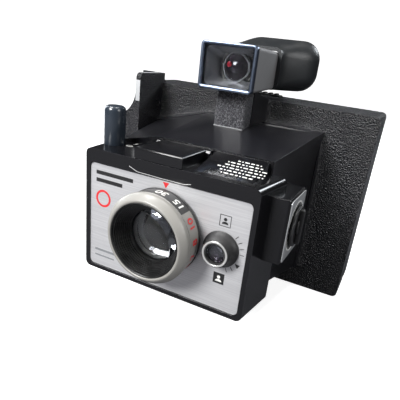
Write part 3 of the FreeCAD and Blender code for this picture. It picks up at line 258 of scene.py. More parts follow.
def grained(name, colour, roughness, scale, strength, depth=0.0002, **more):
    """A material whose whole surface is pebbled."""
    material, shader = finish_of(name, colour, roughness, **more)
    tree = material.node_tree
    grain = use_group(tree, GRAIN, Scale=scale, Strength=strength, Depth=depth)
    tree.links.new(grain.outputs["Normal"], shader.inputs["Normal"])
    return material


def shell_material():
    """Black moulding: satin on the cone and pebbled on the wide rear box."""
    material, shader = finish_of("shell_black_look", (0.005, 0.005, 0.007), 0.30, coat=0.3,
                                 worn=(0.10, 0.10, 0.11), wear=0.25, dust=0.0012, uneven=0.01)
    tree = material.node_tree
    parts = tree.nodes.new("ShaderNodeSeparateXYZ")
    tree.links.new(object_place(tree), parts.inputs[0])
    rear = ranged(tree, parts.outputs["Y"], -0.0245, -0.0185, 0.012, 1.0)
    grain = use_group(tree, GRAIN, Scale=1500.0, Depth=0.0011)
    tree.links.new(rear, grain.inputs["Strength"])
    tree.links.new(grain.outputs["Normal"], shader.inputs["Normal"])
    tree.links.new(grain.outputs["Normal"], shader.inputs["Coat Normal"])
    return material


def stalk_material():
    """Coarse grained moulding whose raised grains are painted pale as glints of light."""
    material, shader = finish_of("stalk_grain_look", (0.02, 0.02, 0.025), 0.32, coat=0.2)
    tree = material.node_tree
    grain = use_group(tree, GRAIN, Scale=2000.0, Strength=1.0, Depth=0.0008)
    tree.links.new(grain.outputs["Normal"], shader.inputs["Normal"])
    # Painted glints: the raised grains are lightened towards pale grey, as if they caught the
    # light.
    wear_and_glint = ranged(tree, grain.outputs["Height"], 0.85, 1.2, 0.0, 0.45)
    tree.links.new(mixed_colour(tree, wear_and_glint, (0.022, 0.022, 0.028), (0.34, 0.34, 0.36)),
                   shader.inputs["Base Color"])
    return material


def plate_material():
    """Brushed aluminium with straight streaks along X."""
    material, shader = finish_of("plate_silver_look", (0.66, 0.66, 0.67), 0.34, metallic=0.45)
    tree = material.node_tree
    brush = use_group(tree, BRUSH, Strength=0.6, Depth=0.00012)
    tree.links.new(brush.outputs["Normal"], shader.inputs["Normal"])
    streaks = ranged(tree, brush.outputs["Streak"], 0.3, 0.7, 0.30, 0.44)
    tree.links.new(streaks, shader.inputs["Roughness"])
    tone = ranged(tree, brush.outputs["Streak"], 0.25, 0.75, 0.0, 1.0)
    tree.links.new(mixed_colour(tree, tone, (0.57, 0.57, 0.585), (0.70, 0.70, 0.71)),
                   shader.inputs["Base Color"])
    shader.inputs["Anisotropic"].default_value = 0.55
    return material


def glass_material(name, tint):
    """Clear coated glass with a faint unevenness of tint."""
    material, shader = finish_of(name, tint, 0.02, worn=tint, wear=0.0, dust=0.01, uneven=0.01)
    shader.inputs["Transmission Weight"].default_value = 1.0
    shader.inputs["IOR"].default_value = 1.52
    shader.inputs["Coat Weight"].default_value = 0.3
    shader.inputs["Coat Tint"].default_value = (0.92, 0.95, 1.0, 1.0)
    return material


def ink(name, colour):
    """Printed ink."""
    return finish_of(name, colour, 0.45, worn=colour, wear=0.1, dust=0.03)[0]


LOOKS = {
    "shell_black": shell_material(),
    "housing_black": finish_of("housing_black_look", (0.004, 0.004, 0.005), 0.18, coat=0.12,
                               worn=(0.08, 0.08, 0.09), wear=0.2, dust=0.004, uneven=0.02)[0],
    "plate_silver": plate_material(),
    "ring_grey": grained("ring_grey_look", (0.27, 0.262, 0.243), 0.38, 2400.0, 0.10, coat=0.15,
                         worn=(0.75, 0.74, 0.72), dust=0.05),
    "hood_black": grained("hood_black_look", (0.003, 0.003, 0.003), 0.36, 2600.0, 0.10,
                          worn=(0.1, 0.1, 0.1), dust=0.004),
    "lens_glass": glass_material("lens_glass_look", (0.96, 0.97, 0.98)),
    "steel": finish_of("steel_look", (0.60, 0.60, 0.61), 0.28, metallic=1.0, dust=0.02)[0],
    "brass": finish_of("brass_look", (0.78, 0.58, 0.28), 0.28, metallic=1.0, dust=0.02)[0],
    "knob_black": grained("knob_black_look", (0.014, 0.014, 0.015), 0.40, 2200.0, 0.15,
                          worn=(0.14, 0.14, 0.14)),
    "trim_bright": finish_of("trim_bright_look", (0.78, 0.78, 0.76), 0.24, metallic=0.7,
                             worn=(0.9, 0.9, 0.9), dust=0.03)[0],
    "post_blue_grey": grained("post_blue_grey_look", (0.020, 0.028, 0.040), 0.28, 1800.0, 0.10,
                              coat=0.35, worn=(0.2, 0.22, 0.25)),
    "finder_grey": grained("finder_grey_look", (0.20, 0.20, 0.205), 0.40, 2200.0, 0.10, coat=0.1,
                           worn=(0.5, 0.5, 0.5)),
    "finder_chrome": finish_of("finder_chrome_look", (0.13, 0.16, 0.22), 0.30, metallic=1.0,
                               worn=(0.35, 0.33, 0.3), wear=0.5, dust=0.05)[0],
    "stalk_grain": stalk_material(),
    "cup_black": grained("cup_black_look", (0.011, 0.013, 0.015), 0.34, 2300.0, 0.10,
                         worn=(0.12, 0.13, 0.14)),
    "pack_black": grained("pack_black_look", (0.03, 0.03, 0.032), 0.45, 900.0, 0.2),
    "cell_case": finish_of("cell_case_look", (0.12, 0.2, 0.32), 0.25, coat=0.4)[0],
    "timer_silver": finish_of("timer_silver_look", (0.40, 0.41, 0.42), 0.34, metallic=0.4,
                              dust=0.05)[0],
    "cell_dark": finish_of("cell_dark_look", (0.02, 0.012, 0.022), 0.08, coat=1.0)[0],
}
WHITE_INK = ink("white_ink", (0.80, 0.80, 0.77))
BLACK_INK = ink("black_ink", (0.012, 0.012, 0.013))
RED_INK = ink("red_ink", (0.62, 0.02, 0.025))
# Grey ink for prints, also used as the painted highlight on the flash lid's bevel.
GREY_INK_AND_HIGHLIGHT = ink("grey_ink_and_highlight", (0.20, 0.21, 0.22))
SCALE_BLACK = grained("scale_black_look", (0.012, 0.012, 0.013), 0.42, 2400.0, 0.1)
IRIS_GREY = finish_of("iris_grey_look", (0.24, 0.23, 0.21), 0.20, metallic=0.5, coat=0.8)[0]
LENS_MIRROR = finish_of("lens_mirror_look", (0.40, 0.38, 0.35), 0.07, metallic=1.0)[0]
# Painted reflection: a pale grey for the finder's inner steps, wall and rims.
PAINTED_REFLECTION_GREY = finish_of("painted_reflection_grey_look", (0.30, 0.30, 0.31), 0.20, coat=0.8)[0]
RED_GLASS = finish_of("red_glass_look", (0.55, 0.01, 0.03), 0.05, coat=1.0)[0]
# Painted highlight: a pale colour for strips that stand in for light caught on rounded edges.
PAINTED_EDGE_HIGHLIGHT = finish_of("painted_edge_highlight_look", (0.42, 0.43, 0.44), 0.30)[0]
GRIP_GRAIN = grained("grip_grain_look", (0.006, 0.006, 0.009), 0.30, 1500.0, 0.9, 0.0010, coat=0.2)


# ---- surfaces


def placed(name, data):
    """A new object in the scene that holds a mesh, curve, light or camera."""
    piece = bpy.data.objects.new(name, data)
    bpy.context.scene.collection.objects.link(piece)
    return piece


def finish_mesh(name, mesh, body, material, stands_for, crease=35.0):
    """Close seams and poles, turn faces outward and put the piece on its CAD body."""
    shape = bmesh.new()
    shape.from_mesh(mesh)
    bmesh.ops.remove_doubles(shape, verts=shape.verts, dist=2e-7)
    bmesh.ops.recalc_face_normals(shape, faces=shape.faces)
    shape.to_mesh(mesh)
    shape.free()
    smooth(mesh, crease)
    mesh.materials.append(material)
    piece = placed(name, mesh)
    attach(piece, body)
    if stands_for:
        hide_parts(*stands_for)
    return piece


def quads(name, grid, wrap_rows=False, wrap_columns=False):
    """A mesh of quads that join the neighbours in a grid of points; the points are metres."""
    rows, columns = grid.shape[:2]
    faces = []
    for row in range(rows if wrap_rows else rows - 1):
        below = (row + 1) % rows
        for column in range(columns if wrap_columns else columns - 1):
            beside = (column + 1) % columns
            faces.append((row * columns + column, row * columns + beside,
                          below * columns + beside, below * columns + column))
    mesh = bpy.data.meshes.new(name)
    mesh.from_pydata(grid.reshape(-1, 3).tolist(), [], faces)
    return mesh


def surface(name, grid, body, slot, material=None, wrap_rows=False, wrap_columns=True,
            stands_for=(), crease=35.0):
    """A piece from a grid of points P(i, j): quads join neighbours, and caps close the ends.
    Without a material it wears the look of its slot."""
    grid = np.asarray(grid, float)
    if not wrap_rows:
        first = np.broadcast_to(grid[0].mean(0), grid[0].shape)
        last = np.broadcast_to(grid[-1].mean(0), grid[-1].shape)
        grid = np.concatenate([first[None], grid, last[None]])
    mesh = quads(name, grid * MM, wrap_rows, wrap_columns)
    return finish_mesh(name, mesh, body, material or LOOKS[slot], stands_for, crease)


def turned(profile, centre, steps=128):
    """P(a, k) = (cx + r_k cos a, y_k, cz + r_k sin a): a profile (r, y) turned about Y."""
    profile = np.asarray(profile, float)
    angle = np.linspace(0, 2 * math.pi, steps, endpoint=False)[:, None]
    x = centre[0] + profile[None, :, 0] * np.cos(angle)
    y = np.broadcast_to(profile[None, :, 1], x.shape)
    z = centre[1] + profile[None, :, 0] * np.sin(angle)
    return np.stack([x, y, z], -1)


def lathe(name, profile, centre, body, slot, stands_for=(), steps=128, crease=35.0, material=None):
    """A closed ring turned from a closed profile."""
    return surface(name, turned(profile, centre, steps), body, slot, material, wrap_rows=True,
                   stands_for=stands_for, crease=crease)


ABOUT_X = [1, 0, 2]
ABOUT_Y = [0, 1, 2]
ABOUT_Z = [0, 2, 1]


def turned_solid(name, profile, centre, body, slot, material=None, steps=64, stands_for=(),
                 crease=50, axis=ABOUT_Y):
    """A solid turned from a profile that starts and ends on its axis.
    The axis is the order in which the turned coordinates are taken."""
    return surface(name, turned(profile, centre, steps)[..., axis], body, slot, material,
                   wrap_rows=True, wrap_columns=False, stands_for=stands_for, crease=crease)


def rounded_outline(low_u, high_u, low_v, high_v, radius, steps=8):
    """Corner arcs: centre + radius (cos a, sin a), a quarter turn at each corner."""
    points = []
    corners = ((high_u, high_v, 0), (low_u, high_v, 90), (low_u, low_v, 180), (high_u, low_v, 270))
    for u, v, start in corners:
        centre_u = u - radius if u == high_u else u + radius
        centre_v = v - radius if v == high_v else v + radius
        for angle in np.radians(start + np.linspace(0, 90, steps)):
            points.append((centre_u + radius * math.cos(angle),
                           centre_v + radius * math.sin(angle)))
    return np.array(points)


def at_y(outline, y):
    """An outline (x, z) placed at one y."""
    return np.stack([outline[:, 0], np.full(len(outline), y), outline[:, 1]], -1)


def nested(low, high, corner, pairs, least=None):
    """Rounded frames (x, z): each pair moves the outline in by an inset and places it at a y.
    With a least radius, the corners tighten as they move in."""
    rows = []
    for inset, y in pairs:
        radius = corner if least is None else max(corner - inset, least)
        rows.append(at_y(rounded_outline(low[0] + inset, high[0] - inset, low[1] + inset,
                                         high[1] - inset, radius), y))
    return rows


def rounded_solid(low, high, corner, edge, axis):
    """A block with rounded corners across an axis and edges rounded by quarter arcs along it."""
    u, v, w = {"x": (1, 2, 0), "y": (0, 2, 1), "z": (0, 1, 2)}[axis]
    quarter = np.radians(np.linspace(0, 90, 6))
    rows = []
    for end, inward, angles in ((low, 1, quarter), (high, -1, quarter[::-1])):
        for angle in angles:
            inset = edge * (1 - math.sin(angle))
            outline = rounded_outline(low[u] + inset, high[u] - inset, low[v] + inset,
                                      high[v] - inset, max(corner - inset, 0.05))
            row = np.zeros((len(outline), 3))
            row[:, [u, v]] = outline
            row[:, w] = end[w] + inward * edge * (1 - math.cos(angle))
            rows.append(row)
    return np.array(rows)


def print_shape(name, outlines, origin, across, up, body, material, thick=0.05):
    """Thin ink and painted highlight strips: each outline (u, v) is a prism on the plane origin + u
    across + v up.
    """
    across = np.array(across, float)
    up = np.array(up, float)
    out = np.cross(across, up)
    points = []
    faces = []
    for outline in outlines:
        outline = np.asarray(outline, float)
        count = len(outline)
        first = len(points)
        base = np.array(origin, float) + outline[:, :1] * across + outline[:, 1:] * up
        points += list(base) + list(base + out * thick)
        faces.append(tuple(range(first + count, first + 2 * count)))
        faces.append(tuple(range(first + count - 1, first - 1, -1)))
        for index in range(count):
            beside = (index + 1) % count
            faces.append((first + index, first + beside, first + count + beside,
                          first + count + index))
    mesh = bpy.data.meshes.new(name)
    mesh.from_pydata((np.array(points) * MM).tolist(), [], faces)
    return finish_mesh(name, mesh, body, material, ())


def facing_front(name, shapes, material, y=PLATE_Y, thick=0.05):
    """Ink and painted highlight strips that face forward, on the face plate unless y says
    otherwise; u is x and v is z.
    """
    print_shape(name, shapes, (0, y, 0), (1, 0, 0), (0, 0, 1), "camera_body", material, thick)


def on_dial(name, shapes, material, thick=0.05):
    """Ink on the timer's face; u is y and v is z, from the middle of the dial."""
    print_shape(name, shapes, (DIAL_X, TIMER_Y, TIMER_Z), (0, 1, 0), (0, 0, 1), "camera_body",
                material, thick)


def bar_shape(u, v, wide, high):
    """A rectangle from its low corner."""
    return [(u, v), (u + wide, v), (u + wide, v + high), (u, v + high)]


def stroke(first, second, wide):
    """A straight ink stroke between two points."""
    first = np.array(first, float)
    second = np.array(second, float)
    along = (second - first) / np.linalg.norm(second - first)
    side = np.array([-along[1], along[0]]) * wide / 2
    return [first - side, second - side, second + side, first + side]


def disc_shape(u, v, radius, steps=32):
    """A disc's outline: (u + radius cos a, v + radius sin a)."""
    angle = np.linspace(0, 2 * math.pi, steps, endpoint=False)
    return np.stack([u + radius * np.cos(angle), v + radius * np.sin(angle)], -1)


def arc_shapes(centre, radius, wide, start, stop, steps=24):
    """An arc of ink, as short strokes that share their ends."""
    shapes = []
    angles = np.radians(np.linspace(start, stop, steps + 1))
    for first, second in zip(angles[:-1], angles[1:]):
        outline = []
        for angle, reach in ((first, -1), (second, -1), (second, 1), (first, 1)):
            r = radius + reach * wide / 2
            outline.append((centre[0] + r * math.cos(angle), centre[1] + r * math.sin(angle)))
        shapes.append(outline)
    return shapes


def smooth(mesh, crease):
    """Smooth shading, with creases sharper than the angle left hard."""
    mesh.polygons.foreach_set("use_smooth", [True] * len(mesh.polygons))
    mesh.set_sharp_from_angle(angle=math.radians(crease))


def softened(node, width, body, slot, thinned=None):
    """A copy of a CAD solid, welded, with its edges rounded; thinned is (y limit, how far)."""
    mesh = frame["nodes"][node].data.copy()
    mesh.materials.clear()
    shape = bmesh.new()
    shape.from_mesh(mesh)
    bmesh.ops.remove_doubles(shape, verts=shape.verts, dist=1e-6)
    bmesh.ops.dissolve_limit(shape, angle_limit=math.radians(0.6), verts=shape.verts,
                             edges=shape.edges)
    if thinned:
        for vertex in shape.verts:
            if vertex.co.y > thinned[0] * MM:
                vertex.co.y -= thinned[1] * MM
    weights = shape.edges.layers.float.new("bevel_weight_edge")
    for edge in shape.edges:
        if len(edge.link_faces) == 2 and edge.calc_face_angle(0.0) > math.radians(28):
            edge[weights] = 1.0
    shape.to_mesh(mesh)
    shape.free()
    smooth(mesh, 40)
    mesh.materials.append(LOOKS[slot])
    piece = placed(node + "_moulding", mesh)
    bevel = piece.modifiers.new("rounded", "BEVEL")
    bevel.width = width * MM
    bevel.segments = 3
    bevel.limit_method = "WEIGHT"
    bevel.harden_normals = True
    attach(piece, body)
    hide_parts(node)
    return piece


# ---- mouldings


def make_mouldings():
    """Black and silver mouldings: the CAD solids with rounded edges."""
    softened("rear_shell", 0.9, "camera_body", "shell_black")
    softened("cone_shell", 1.3, "camera_body", "shell_black")
    grip = softened("side_grip", 0.8, "camera_body", "shell_black")
    grip.data.materials[0] = GRIP_GRAIN
    softened("front_housing", 0.45, "camera_body", "housing_black")
    softened("face_plate", 0.18, "camera_body", "plate_silver")
    softened("back_door", 0.8, "rear_door", "shell_black", thinned=(20.5, 0.5))
    softened("timer_case", 0.7, "camera_body", "housing_black")
    softened("flash_well", 0.2, "camera_body", "housing_black")
    softened("flash_socket", 0.2, "flash_rotor", "knob_black")
    softened("door_latch", 0.3, "latch_slider", "knob_black")
    softened("roller_frame", 0.15, "camera_body", "steel")


def make_root_fillet():
    """Concave fillet where the cone meets the rear box: centre line C(s), radius R,
    P(s, a) = C(s) + out (R - R sin a) - ahead (R - R cos a)."""
    radius = 5.5
    buried = CONE_ROOT_Y + 1.2
    corners = ((48.6, 14.0), (48.6, CONE_TOP), (-22.0, CONE_TOP), (-60.8, 88.5))
    path = []
    for first, second in zip(corners[:-1], corners[1:]):
        for share in np.linspace(0, 1, 24, endpoint=False):
            path.append(np.array(first) * (1 - share) + np.array(second) * share)
    path.append(np.array(corners[-1]))
    path = np.array(path)
    for _ in range(14):
        path[1:-1] = (path[:-2] + 2 * path[1:-1] + path[2:]) / 4
    along = np.gradient(path, axis=0)
    along /= np.linalg.norm(along, axis=1)[:, None]
    out = np.stack([along[:, 1], -along[:, 0]], -1)
    rows = []
    for place, away in zip(path, out):
        row = []
        for angle in np.radians(np.linspace(0, 90, 12)):
            side = radius * (1 - math.sin(angle))
            ahead = radius * (1 - math.cos(angle))
            point = place + away * side
            row.append((point[0], CONE_ROOT_Y - ahead, point[1]))
        inner = place - away * 1.2
        row.append((inner[0], CONE_ROOT_Y - radius, inner[1]))
        row.append((inner[0], buried, inner[1]))
        point = place + away * radius
        row.append((point[0], buried, point[1]))
        rows.append(row)
    surface("cone_root_fillet", rows, "camera_body", "shell_black")


def make_fin_highlight():
    """Painted highlight along the front and top of the fin: a thin bent pale strip."""
    outline = [(-44.05, 101.5), (-44.05, 113.6), (-43.2, 116.2), (-41.3, 117.9), (-39.0, 118.04),
               (-22.0, 118.04)]
    rows = []
    for y, z in outline:
        rows.append([(-64.0, y, z), (-61.05, y, z), (-61.05, y + 0.4, z - 0.4),
                     (-64.0, y + 0.4, z - 0.4)])
    surface("fin_edge_highlight", rows, "camera_body", "finder_grey", PAINTED_EDGE_HIGHLIGHT)


# ---- lens and its ring


def ring_radius(y):
    """Radius of the scale band's cone at a given y."""
    return 20.45 + (21.05 - 20.45) * (-109.5 - y) / (118.6 - 109.5)


def make_ring():
    """Focus ring: a low cone with a rounded lip, a painted shadow ring at its foot and the black
    part of its scale.
    The black band is P(a, k) = (r_k cos a, y_k, lens height + r_k sin a)."""
    profile = [(14.06, -109.3), (20.2, -109.3), (20.45, -109.5), (21.05, -118.6), (20.8, -118.75),
               (20.8, -119.0), (21.1, -119.1), (21.24, -119.5), (21.24, -120.7), (21.1, -121.2),
               (20.75, -121.7), (18.85, -124.0), (18.5, -124.24), (18.15, -124.3),
               (17.75, -124.22), (17.5, -124.0), (17.42, -123.5), (17.42, -112.3),
               (14.06, -112.3)]
    lathe("scale_ring", profile, (0, LENS_Z), "focus_group", "ring_grey", ("focus_ring",),
          160, 30)
    # Painted shadow: a black ring where the focus ring meets the plate.
    shadow = [(20.3, -109.25), (20.75, -109.25), (20.8, -110.4), (20.4, -110.4)]
    lathe("ring_foot_shadow", shadow, (0, LENS_Z), "focus_group", "hood_black",
          material=SCALE_BLACK)
    rows = []
    for angle in np.radians(np.linspace(45, 150, 80)):
        row = []
        for y, lift in ((-110.3, -0.1), (-110.3, 0.04), (-118.5, 0.04), (-118.5, -0.1)):
            r = ring_radius(y) + lift
            row.append((r * math.cos(angle), y, LENS_Z + r * math.sin(angle)))
        rows.append(row)
    surface("scale_black_band", rows, "focus_group", None, SCALE_BLACK)


def lettered(name, text, high):
    """The flat outline of a plain numeral as a mesh in its own (u, v) plane, centred."""
    curve = bpy.data.curves.new(name, "FONT")
    curve.body = text
    curve.size = high / 0.72
    curve.align_x = "CENTER"
    curve.offset = 0.12
    holder = placed(name, curve)
    bpy.context.view_layer.update()
    flat = bpy.data.meshes.new_from_object(holder.evaluated_get(
        bpy.context.evaluated_depsgraph_get()))
    bpy.data.objects.remove(holder)
    points = np.zeros(len(flat.vertices) * 3)
    flat.vertices.foreach_get("co", points)
    points = points.reshape(-1, 3)
    points[:, 1] -= (points[:, 1].max() + points[:, 1].min()) / 2
    points[:, 0] -= (points[:, 0].max() + points[:, 0].min()) / 2
    return flat, points


def place_numeral(name, text, high, material, body, where):
    """A numeral whose flat points (u, v) are carried to where(u, v)."""
    flat, points = lettered(name + "_flat", text, high)
    carried = np.array([where(u, v) for u, v, _ in points]) * MM
    faces = [tuple(face.vertices) for face in flat.polygons]
    mesh = bpy.data.meshes.new(name)
    mesh.from_pydata(carried.tolist(), [], faces)
    mesh.materials.append(material)
    piece = placed(name, mesh)
    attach(piece, body)
    return piece


def make_scale_numerals():
    """Distances round the ring: P(u, v) = (R cos(t + u / R), y - v, R sin(t + u / R))."""
    for text, turn, material in (("30", 84, WHITE_INK), ("15", 59, WHITE_INK), ("10", 31, RED_INK),
                                 ("8", 7, RED_INK), ("7", -12, RED_INK), ("6", -29, RED_INK),
                                 ("5", -46, RED_INK)):
        def where(u, v, turn=turn):
            y = -114.6 - v
            r = ring_radius(y) + 0.12
            angle = math.radians(turn) + u / r
            return (r * math.cos(angle), y, LENS_Z + r * math.sin(angle))
        place_numeral("scale_" + text, text, 4.3, material, "focus_group", where)


def make_hood():
    """Ribbed funnel: the radius falls in equal ribs, each a small rounded tooth."""
    ribs = 9
    profile = [(17.38, -112.62), (17.38, -124.0), (17.1, -124.1), (16.9, -124.0)]
    for rib in range(ribs):
        start = 16.7 - (16.7 - 12.5) * rib / ribs
        finish = 16.7 - (16.7 - 12.5) * (rib + 1) / ribs
        low = -123.7 + (123.7 - 115.6) * rib / ribs
        high = -123.7 + (123.7 - 115.6) * (rib + 1) / ribs
        step = (high - low) / 4
        profile += [(start, low), (start + 0.12, low + step), (start + 0.05, low + 2.4 * step),
                    (finish - 0.10, low + 2.8 * step), (finish - 0.12, low + 3.6 * step)]
    profile += [(12.2, -115.4), (12.2, -112.62)]
    lathe("ribbed_hood", profile, (0, LENS_Z), "focus_group", "hood_black", ("lens_hood",),
          144, 25)


def dome_profile(radius, front_y, dome_r, back_y):
    """Profile of a glass disc: a spherical front, a short rim and a flat back."""
    profile = []
    for share in np.linspace(0, 1, 24):
        r = radius * share
        profile.append((r, front_y + dome_r - math.sqrt(dome_r ** 2 - r ** 2)))
    profile += [(radius, back_y - 0.1), (radius - 0.1, back_y), (0, back_y)]
    return profile


def make_glass():
    """The front glass, an inner element and the pale inside of the barrel."""
    turned_solid("front_glass", dome_profile(11.95, -117.75, 24.0, -112.65), (0, LENS_Z),
                 "focus_group", "lens_glass", steps=128, stands_for=("front_element",))
    barrel = [(11.55, -112.0), (11.55, -110.6), (9.4, -110.2), (9.2, -108.6), (7.4, -108.2),
              (7.2, -105.2), (5.4, -104.6), (5.4, -101.2), (11.55, -101.2), (11.58, -106.0)]
    lathe("barrel_inside", barrel, (0, LENS_Z), "camera_body", "hood_black",
          material=IRIS_GREY)
    turned_solid("inner_glass", dome_profile(5.3, -104.2, 9.0, -102.4), (0, LENS_Z), "camera_body",
                 "lens_glass", LENS_MIRROR)


def make_exposure():
    """Flared knob, bright ring, black inner ring and the window of the electric eye."""
    body = [(5.9, -114.55), (6.25, -114.5), (6.45, -114.3), (6.62, -112.6), (7.0, -111.0),
            (7.8, -109.4), (8.6, -108.75), (8.6, -108.5), (5.62, -108.5), (5.62, -104.7),
            (4.46, -104.7), (4.46, -114.55)]
    angle = np.linspace(0, 2 * math.pi, 240, endpoint=False)
    grid = turned(body, (KNOB_X, LENS_Z), 240)
    ridge = 0.06 * np.cos(angle * 60)
    for column in range(3, 6):
        grid[:, column, 0] += ridge * np.cos(angle)
        grid[:, column, 2] += ridge * np.sin(angle)
    surface("eye_knob", grid, "exposure_group", "knob_black", wrap_rows=True,
            stands_for=("exposure_knob",), crease=40)
    trim = [(5.05, -114.6), (5.05, -114.85), (5.2, -114.98), (5.8, -114.98), (5.98, -114.85),
            (5.98, -114.6)]
    lathe("eye_ring", trim, (KNOB_X, LENS_Z), "exposure_group", "trim_bright",
          ("knob_trim",), 96)
    collar = [(4.47, -114.55), (4.47, -114.9), (4.95, -114.9), (5.04, -114.7), (5.04, -114.55)]
    lathe("eye_collar", collar, (KNOB_X, LENS_Z), "exposure_group", "knob_black")
    turned_solid("eye_glass", dome_profile(4.18, -113.95, 14.0, -112.4), (KNOB_X, LENS_Z),
                 "camera_body", "lens_glass", stands_for=("eye_window",))
    cell = [(0, -111.3), (4.1, -111.3), (4.1, -104.9), (0, -104.9)]
    turned_solid("eye_cell", cell, (KNOB_X, LENS_Z), "camera_body", "cell_dark", steps=48,
                 crease=35)


# ---- top of the housing


def make_post():
    """Tall push post: a cylinder with a rounded shoulder, turned about Z."""
    profile = [(0, 81.95), (5.0, 81.95), (5.25, 82.2), (5.25, 102.6), (5.1, 103.6), (4.6, 104.4),
               (3.8, 104.85), (2.6, 105.0), (0, 105.0)]
    turned_solid("release_post", profile, (POST_X, POST_Y), "release_button", "post_blue_grey",
                 steps=72, axis=ABOUT_Z)
    stem = [(0, 62.0), (1.9, 62.0), (2.0, 62.1), (2.0, 82.1), (0, 82.1)]
    turned_solid("release_stem", stem, (POST_X, POST_Y), "release_button", "post_blue_grey",
                 steps=72, stands_for=("shutter_release",), crease=35, axis=ABOUT_Z)


def make_flash_lid():
    """Rounded lid over the flash well, with a strip of painted highlight along its front edge."""
    softened("flash_cover", 0.35, "flash_lid", "housing_black")
    # Painted highlight: a grey strip on the front bevel for its bluish sheen.
    rim = [(-17.2, 0.0), (7.2, 0.0), (7.2, 0.7), (-17.2, 0.7)]
    print_shape("lid_bevel_highlight", [rim], (0, -108.36, 90.35), (1, 0, 0), (0, 0.55, 0.835), "flash_lid",
                GREY_INK_AND_HIGHLIGHT, 0.03)


def make_finder():
    """Bright rounded frame, tapering grey tube, front and rear glass with inner frames."""
    pairs = ((0.0, -54.35), (0.0, -56.9), (0.25, -57.2), (0.55, -57.3), (1.45, -57.25),
             (1.8, -56.95), (1.9, -56.2), (1.9, -54.35))
    rim = nested((-15.5, 116.3), (15.5, 139.9), 2.2, pairs, 0.7)
    surface("finder_rim", rim, "camera_body", "finder_chrome", wrap_rows=True,
            stands_for=("finder_frame",), crease=50)
    rows = []
    outer = (15.1, 116.7, 139.5, 2.0)
    inner = (13.8, 118.0, 138.2, 1.0)
    for (half, low, high, corner), share in ((outer, 0), (outer, 1), (inner, 1), (inner, 0)):
        outline = rounded_outline(-half + 1.5 * share, half - 1.5 * share, low + 1.2 * share,
                                  high - 1.2 * share, corner)
        rows.append(at_y(outline, -54.28 + 42.2 * share))
    surface("finder_body", rows, "camera_body", "finder_grey", wrap_rows=True,
            stands_for=("finder_tube",), crease=30)
    front = rounded_solid((-13.85, -55.9, 117.9), (13.85, -54.5, 138.3), 0.9, 0.3, "y")
    surface("finder_glass", front, "camera_body", "lens_glass",
            stands_for=("finder_front_lens",), crease=50)
    rear = rounded_solid((-11.9, -14.4, 119.6), (11.9, -13.2, 136.6), 0.8, 0.3, "y")
    surface("finder_rear_glass", rear, "camera_body", "lens_glass", LOOKS["cell_dark"],
            stands_for=("finder_eye_lens",), crease=50)


def make_finder_inside():
    """Steps, a wall and round rims in pale grey that paint the reflections inside the finder tube,
    a dark domed lens and a red spot.
    """
    pairs = ((0.1, -53.6), (1.6, -50.0), (1.9, -48.5), (3.4, -45.5), (3.8, -41.0), (3.2, -40.0),
             (0.05, -52.5))
    steps = nested((-13.4, 118.5), (13.4, 137.7), 2.5, pairs)
    surface("finder_steps", steps, "camera_body", "hood_black", PAINTED_REFLECTION_GREY, wrap_rows=True)
    wall = rounded_solid((-12.6, -40.5, 119.2), (12.6, -39.5, 136.9), 0.8, 0.3, "y")
    surface("finder_wall", wall, "camera_body", "hood_black", PAINTED_REFLECTION_GREY)
    # The stop and the rim are pale rings that paint the reflections round the finder's inner lens.
    for name, radius, y, look in (("finder_stop", 8.9, -44.6, IRIS_GREY),
                                  ("finder_lens_rim", 7.1, -46.4, PAINTED_REFLECTION_GREY)):
        ring = [(radius, y), (radius, y + 4.2), (radius - 0.9, y + 4.2), (radius - 0.7, y)]
        lathe(name, ring, FINDER_LENS, "camera_body", None, steps=64, material=look)
    turned_solid("finder_inner_lens", dome_profile(6.0, -49.0, 6.6, -41.5), FINDER_LENS,
                 "camera_body", "lens_glass", LOOKS["cell_dark"])
    turned_solid("finder_red_dot", dome_profile(1.3, -49.4, 2.4, -47.6), (-1.9, 129.4),
                 "camera_body", None, RED_GLASS, 32)


def cup_section(share, y, inset):
    """Outline of the eyecup between its neck and its wide rim; share runs from 0 to 1."""
    left = -16.2 + 1.2 * share
    right = 16.2 + 16.8 * share
    high = 140.9 + 5.6 * share
    radius = 4.5 + 6.5 * share
    return at_y(rounded_outline(left + inset, right - inset, 117.5 + inset, high - inset,
                                max(radius - inset, 0.8), 10), y)


def make_eyecup():
    """Flared cup: the outside swells with the S curve 3 t^2 - 2 t^3, the lip is a half circle,
    and the inside returns."""
    def section(step, inset):
        share = step * step * (3 - 2 * step)
        return cup_section(share ** 0.8, -18.0 + 22.0 * step, inset)
    rows = [section(step, 0.0) for step in np.linspace(0, 1, 18)]
    for angle in np.radians(np.linspace(20, 160, 8)):
        rows.append(cup_section(1.0, 4.0 + math.sin(angle) * 0.98, 1.0 - math.cos(angle)))
    rows += [section(step, 2.0) for step in np.linspace(0.97, 0.28, 14)]
    rows.append(cup_section(0.0, -12.0, 2.0))
    rows.append(cup_section(0.0, -17.9, 2.0))
    surface("soft_eyecup", rows, "camera_body", "cup_black", wrap_rows=True,
            stands_for=("eyecup",), crease=60)


def make_stalk():
    """Grained block under the finder with soft corners, a foot on the cone's slope and a painted
    highlight line along that foot.
    """
    rows = []
    for share in np.linspace(0, 1, 10):
        outline = rounded_outline(-8.95, 8.95, -45.45, -34.05, 1.1, 5)
        points = np.zeros((len(outline), 3))
        points[:, 0] = outline[:, 0]
        points[:, 1] = outline[:, 1]
        foot = CONE_TOP + (outline[:, 1] - CONE_ROOT_Y) * CONE_FALL
        points[:, 2] = foot * (1 - share) + 116.25 * share
        rows.append(points)
    surface("grained_stalk", rows, "camera_body", "stalk_grain",
            stands_for=("finder_stalk",), crease=40)
    # Painted highlight: a pale line along the lower front edge of the block.
    foot = [bar_shape(-8.8, 96.28, 17.6, 0.28)]
    facing_front("stalk_foot_highlight", foot, PAINTED_EDGE_HIGHLIGHT, -45.47, 0.04)


# ---- timer on the side


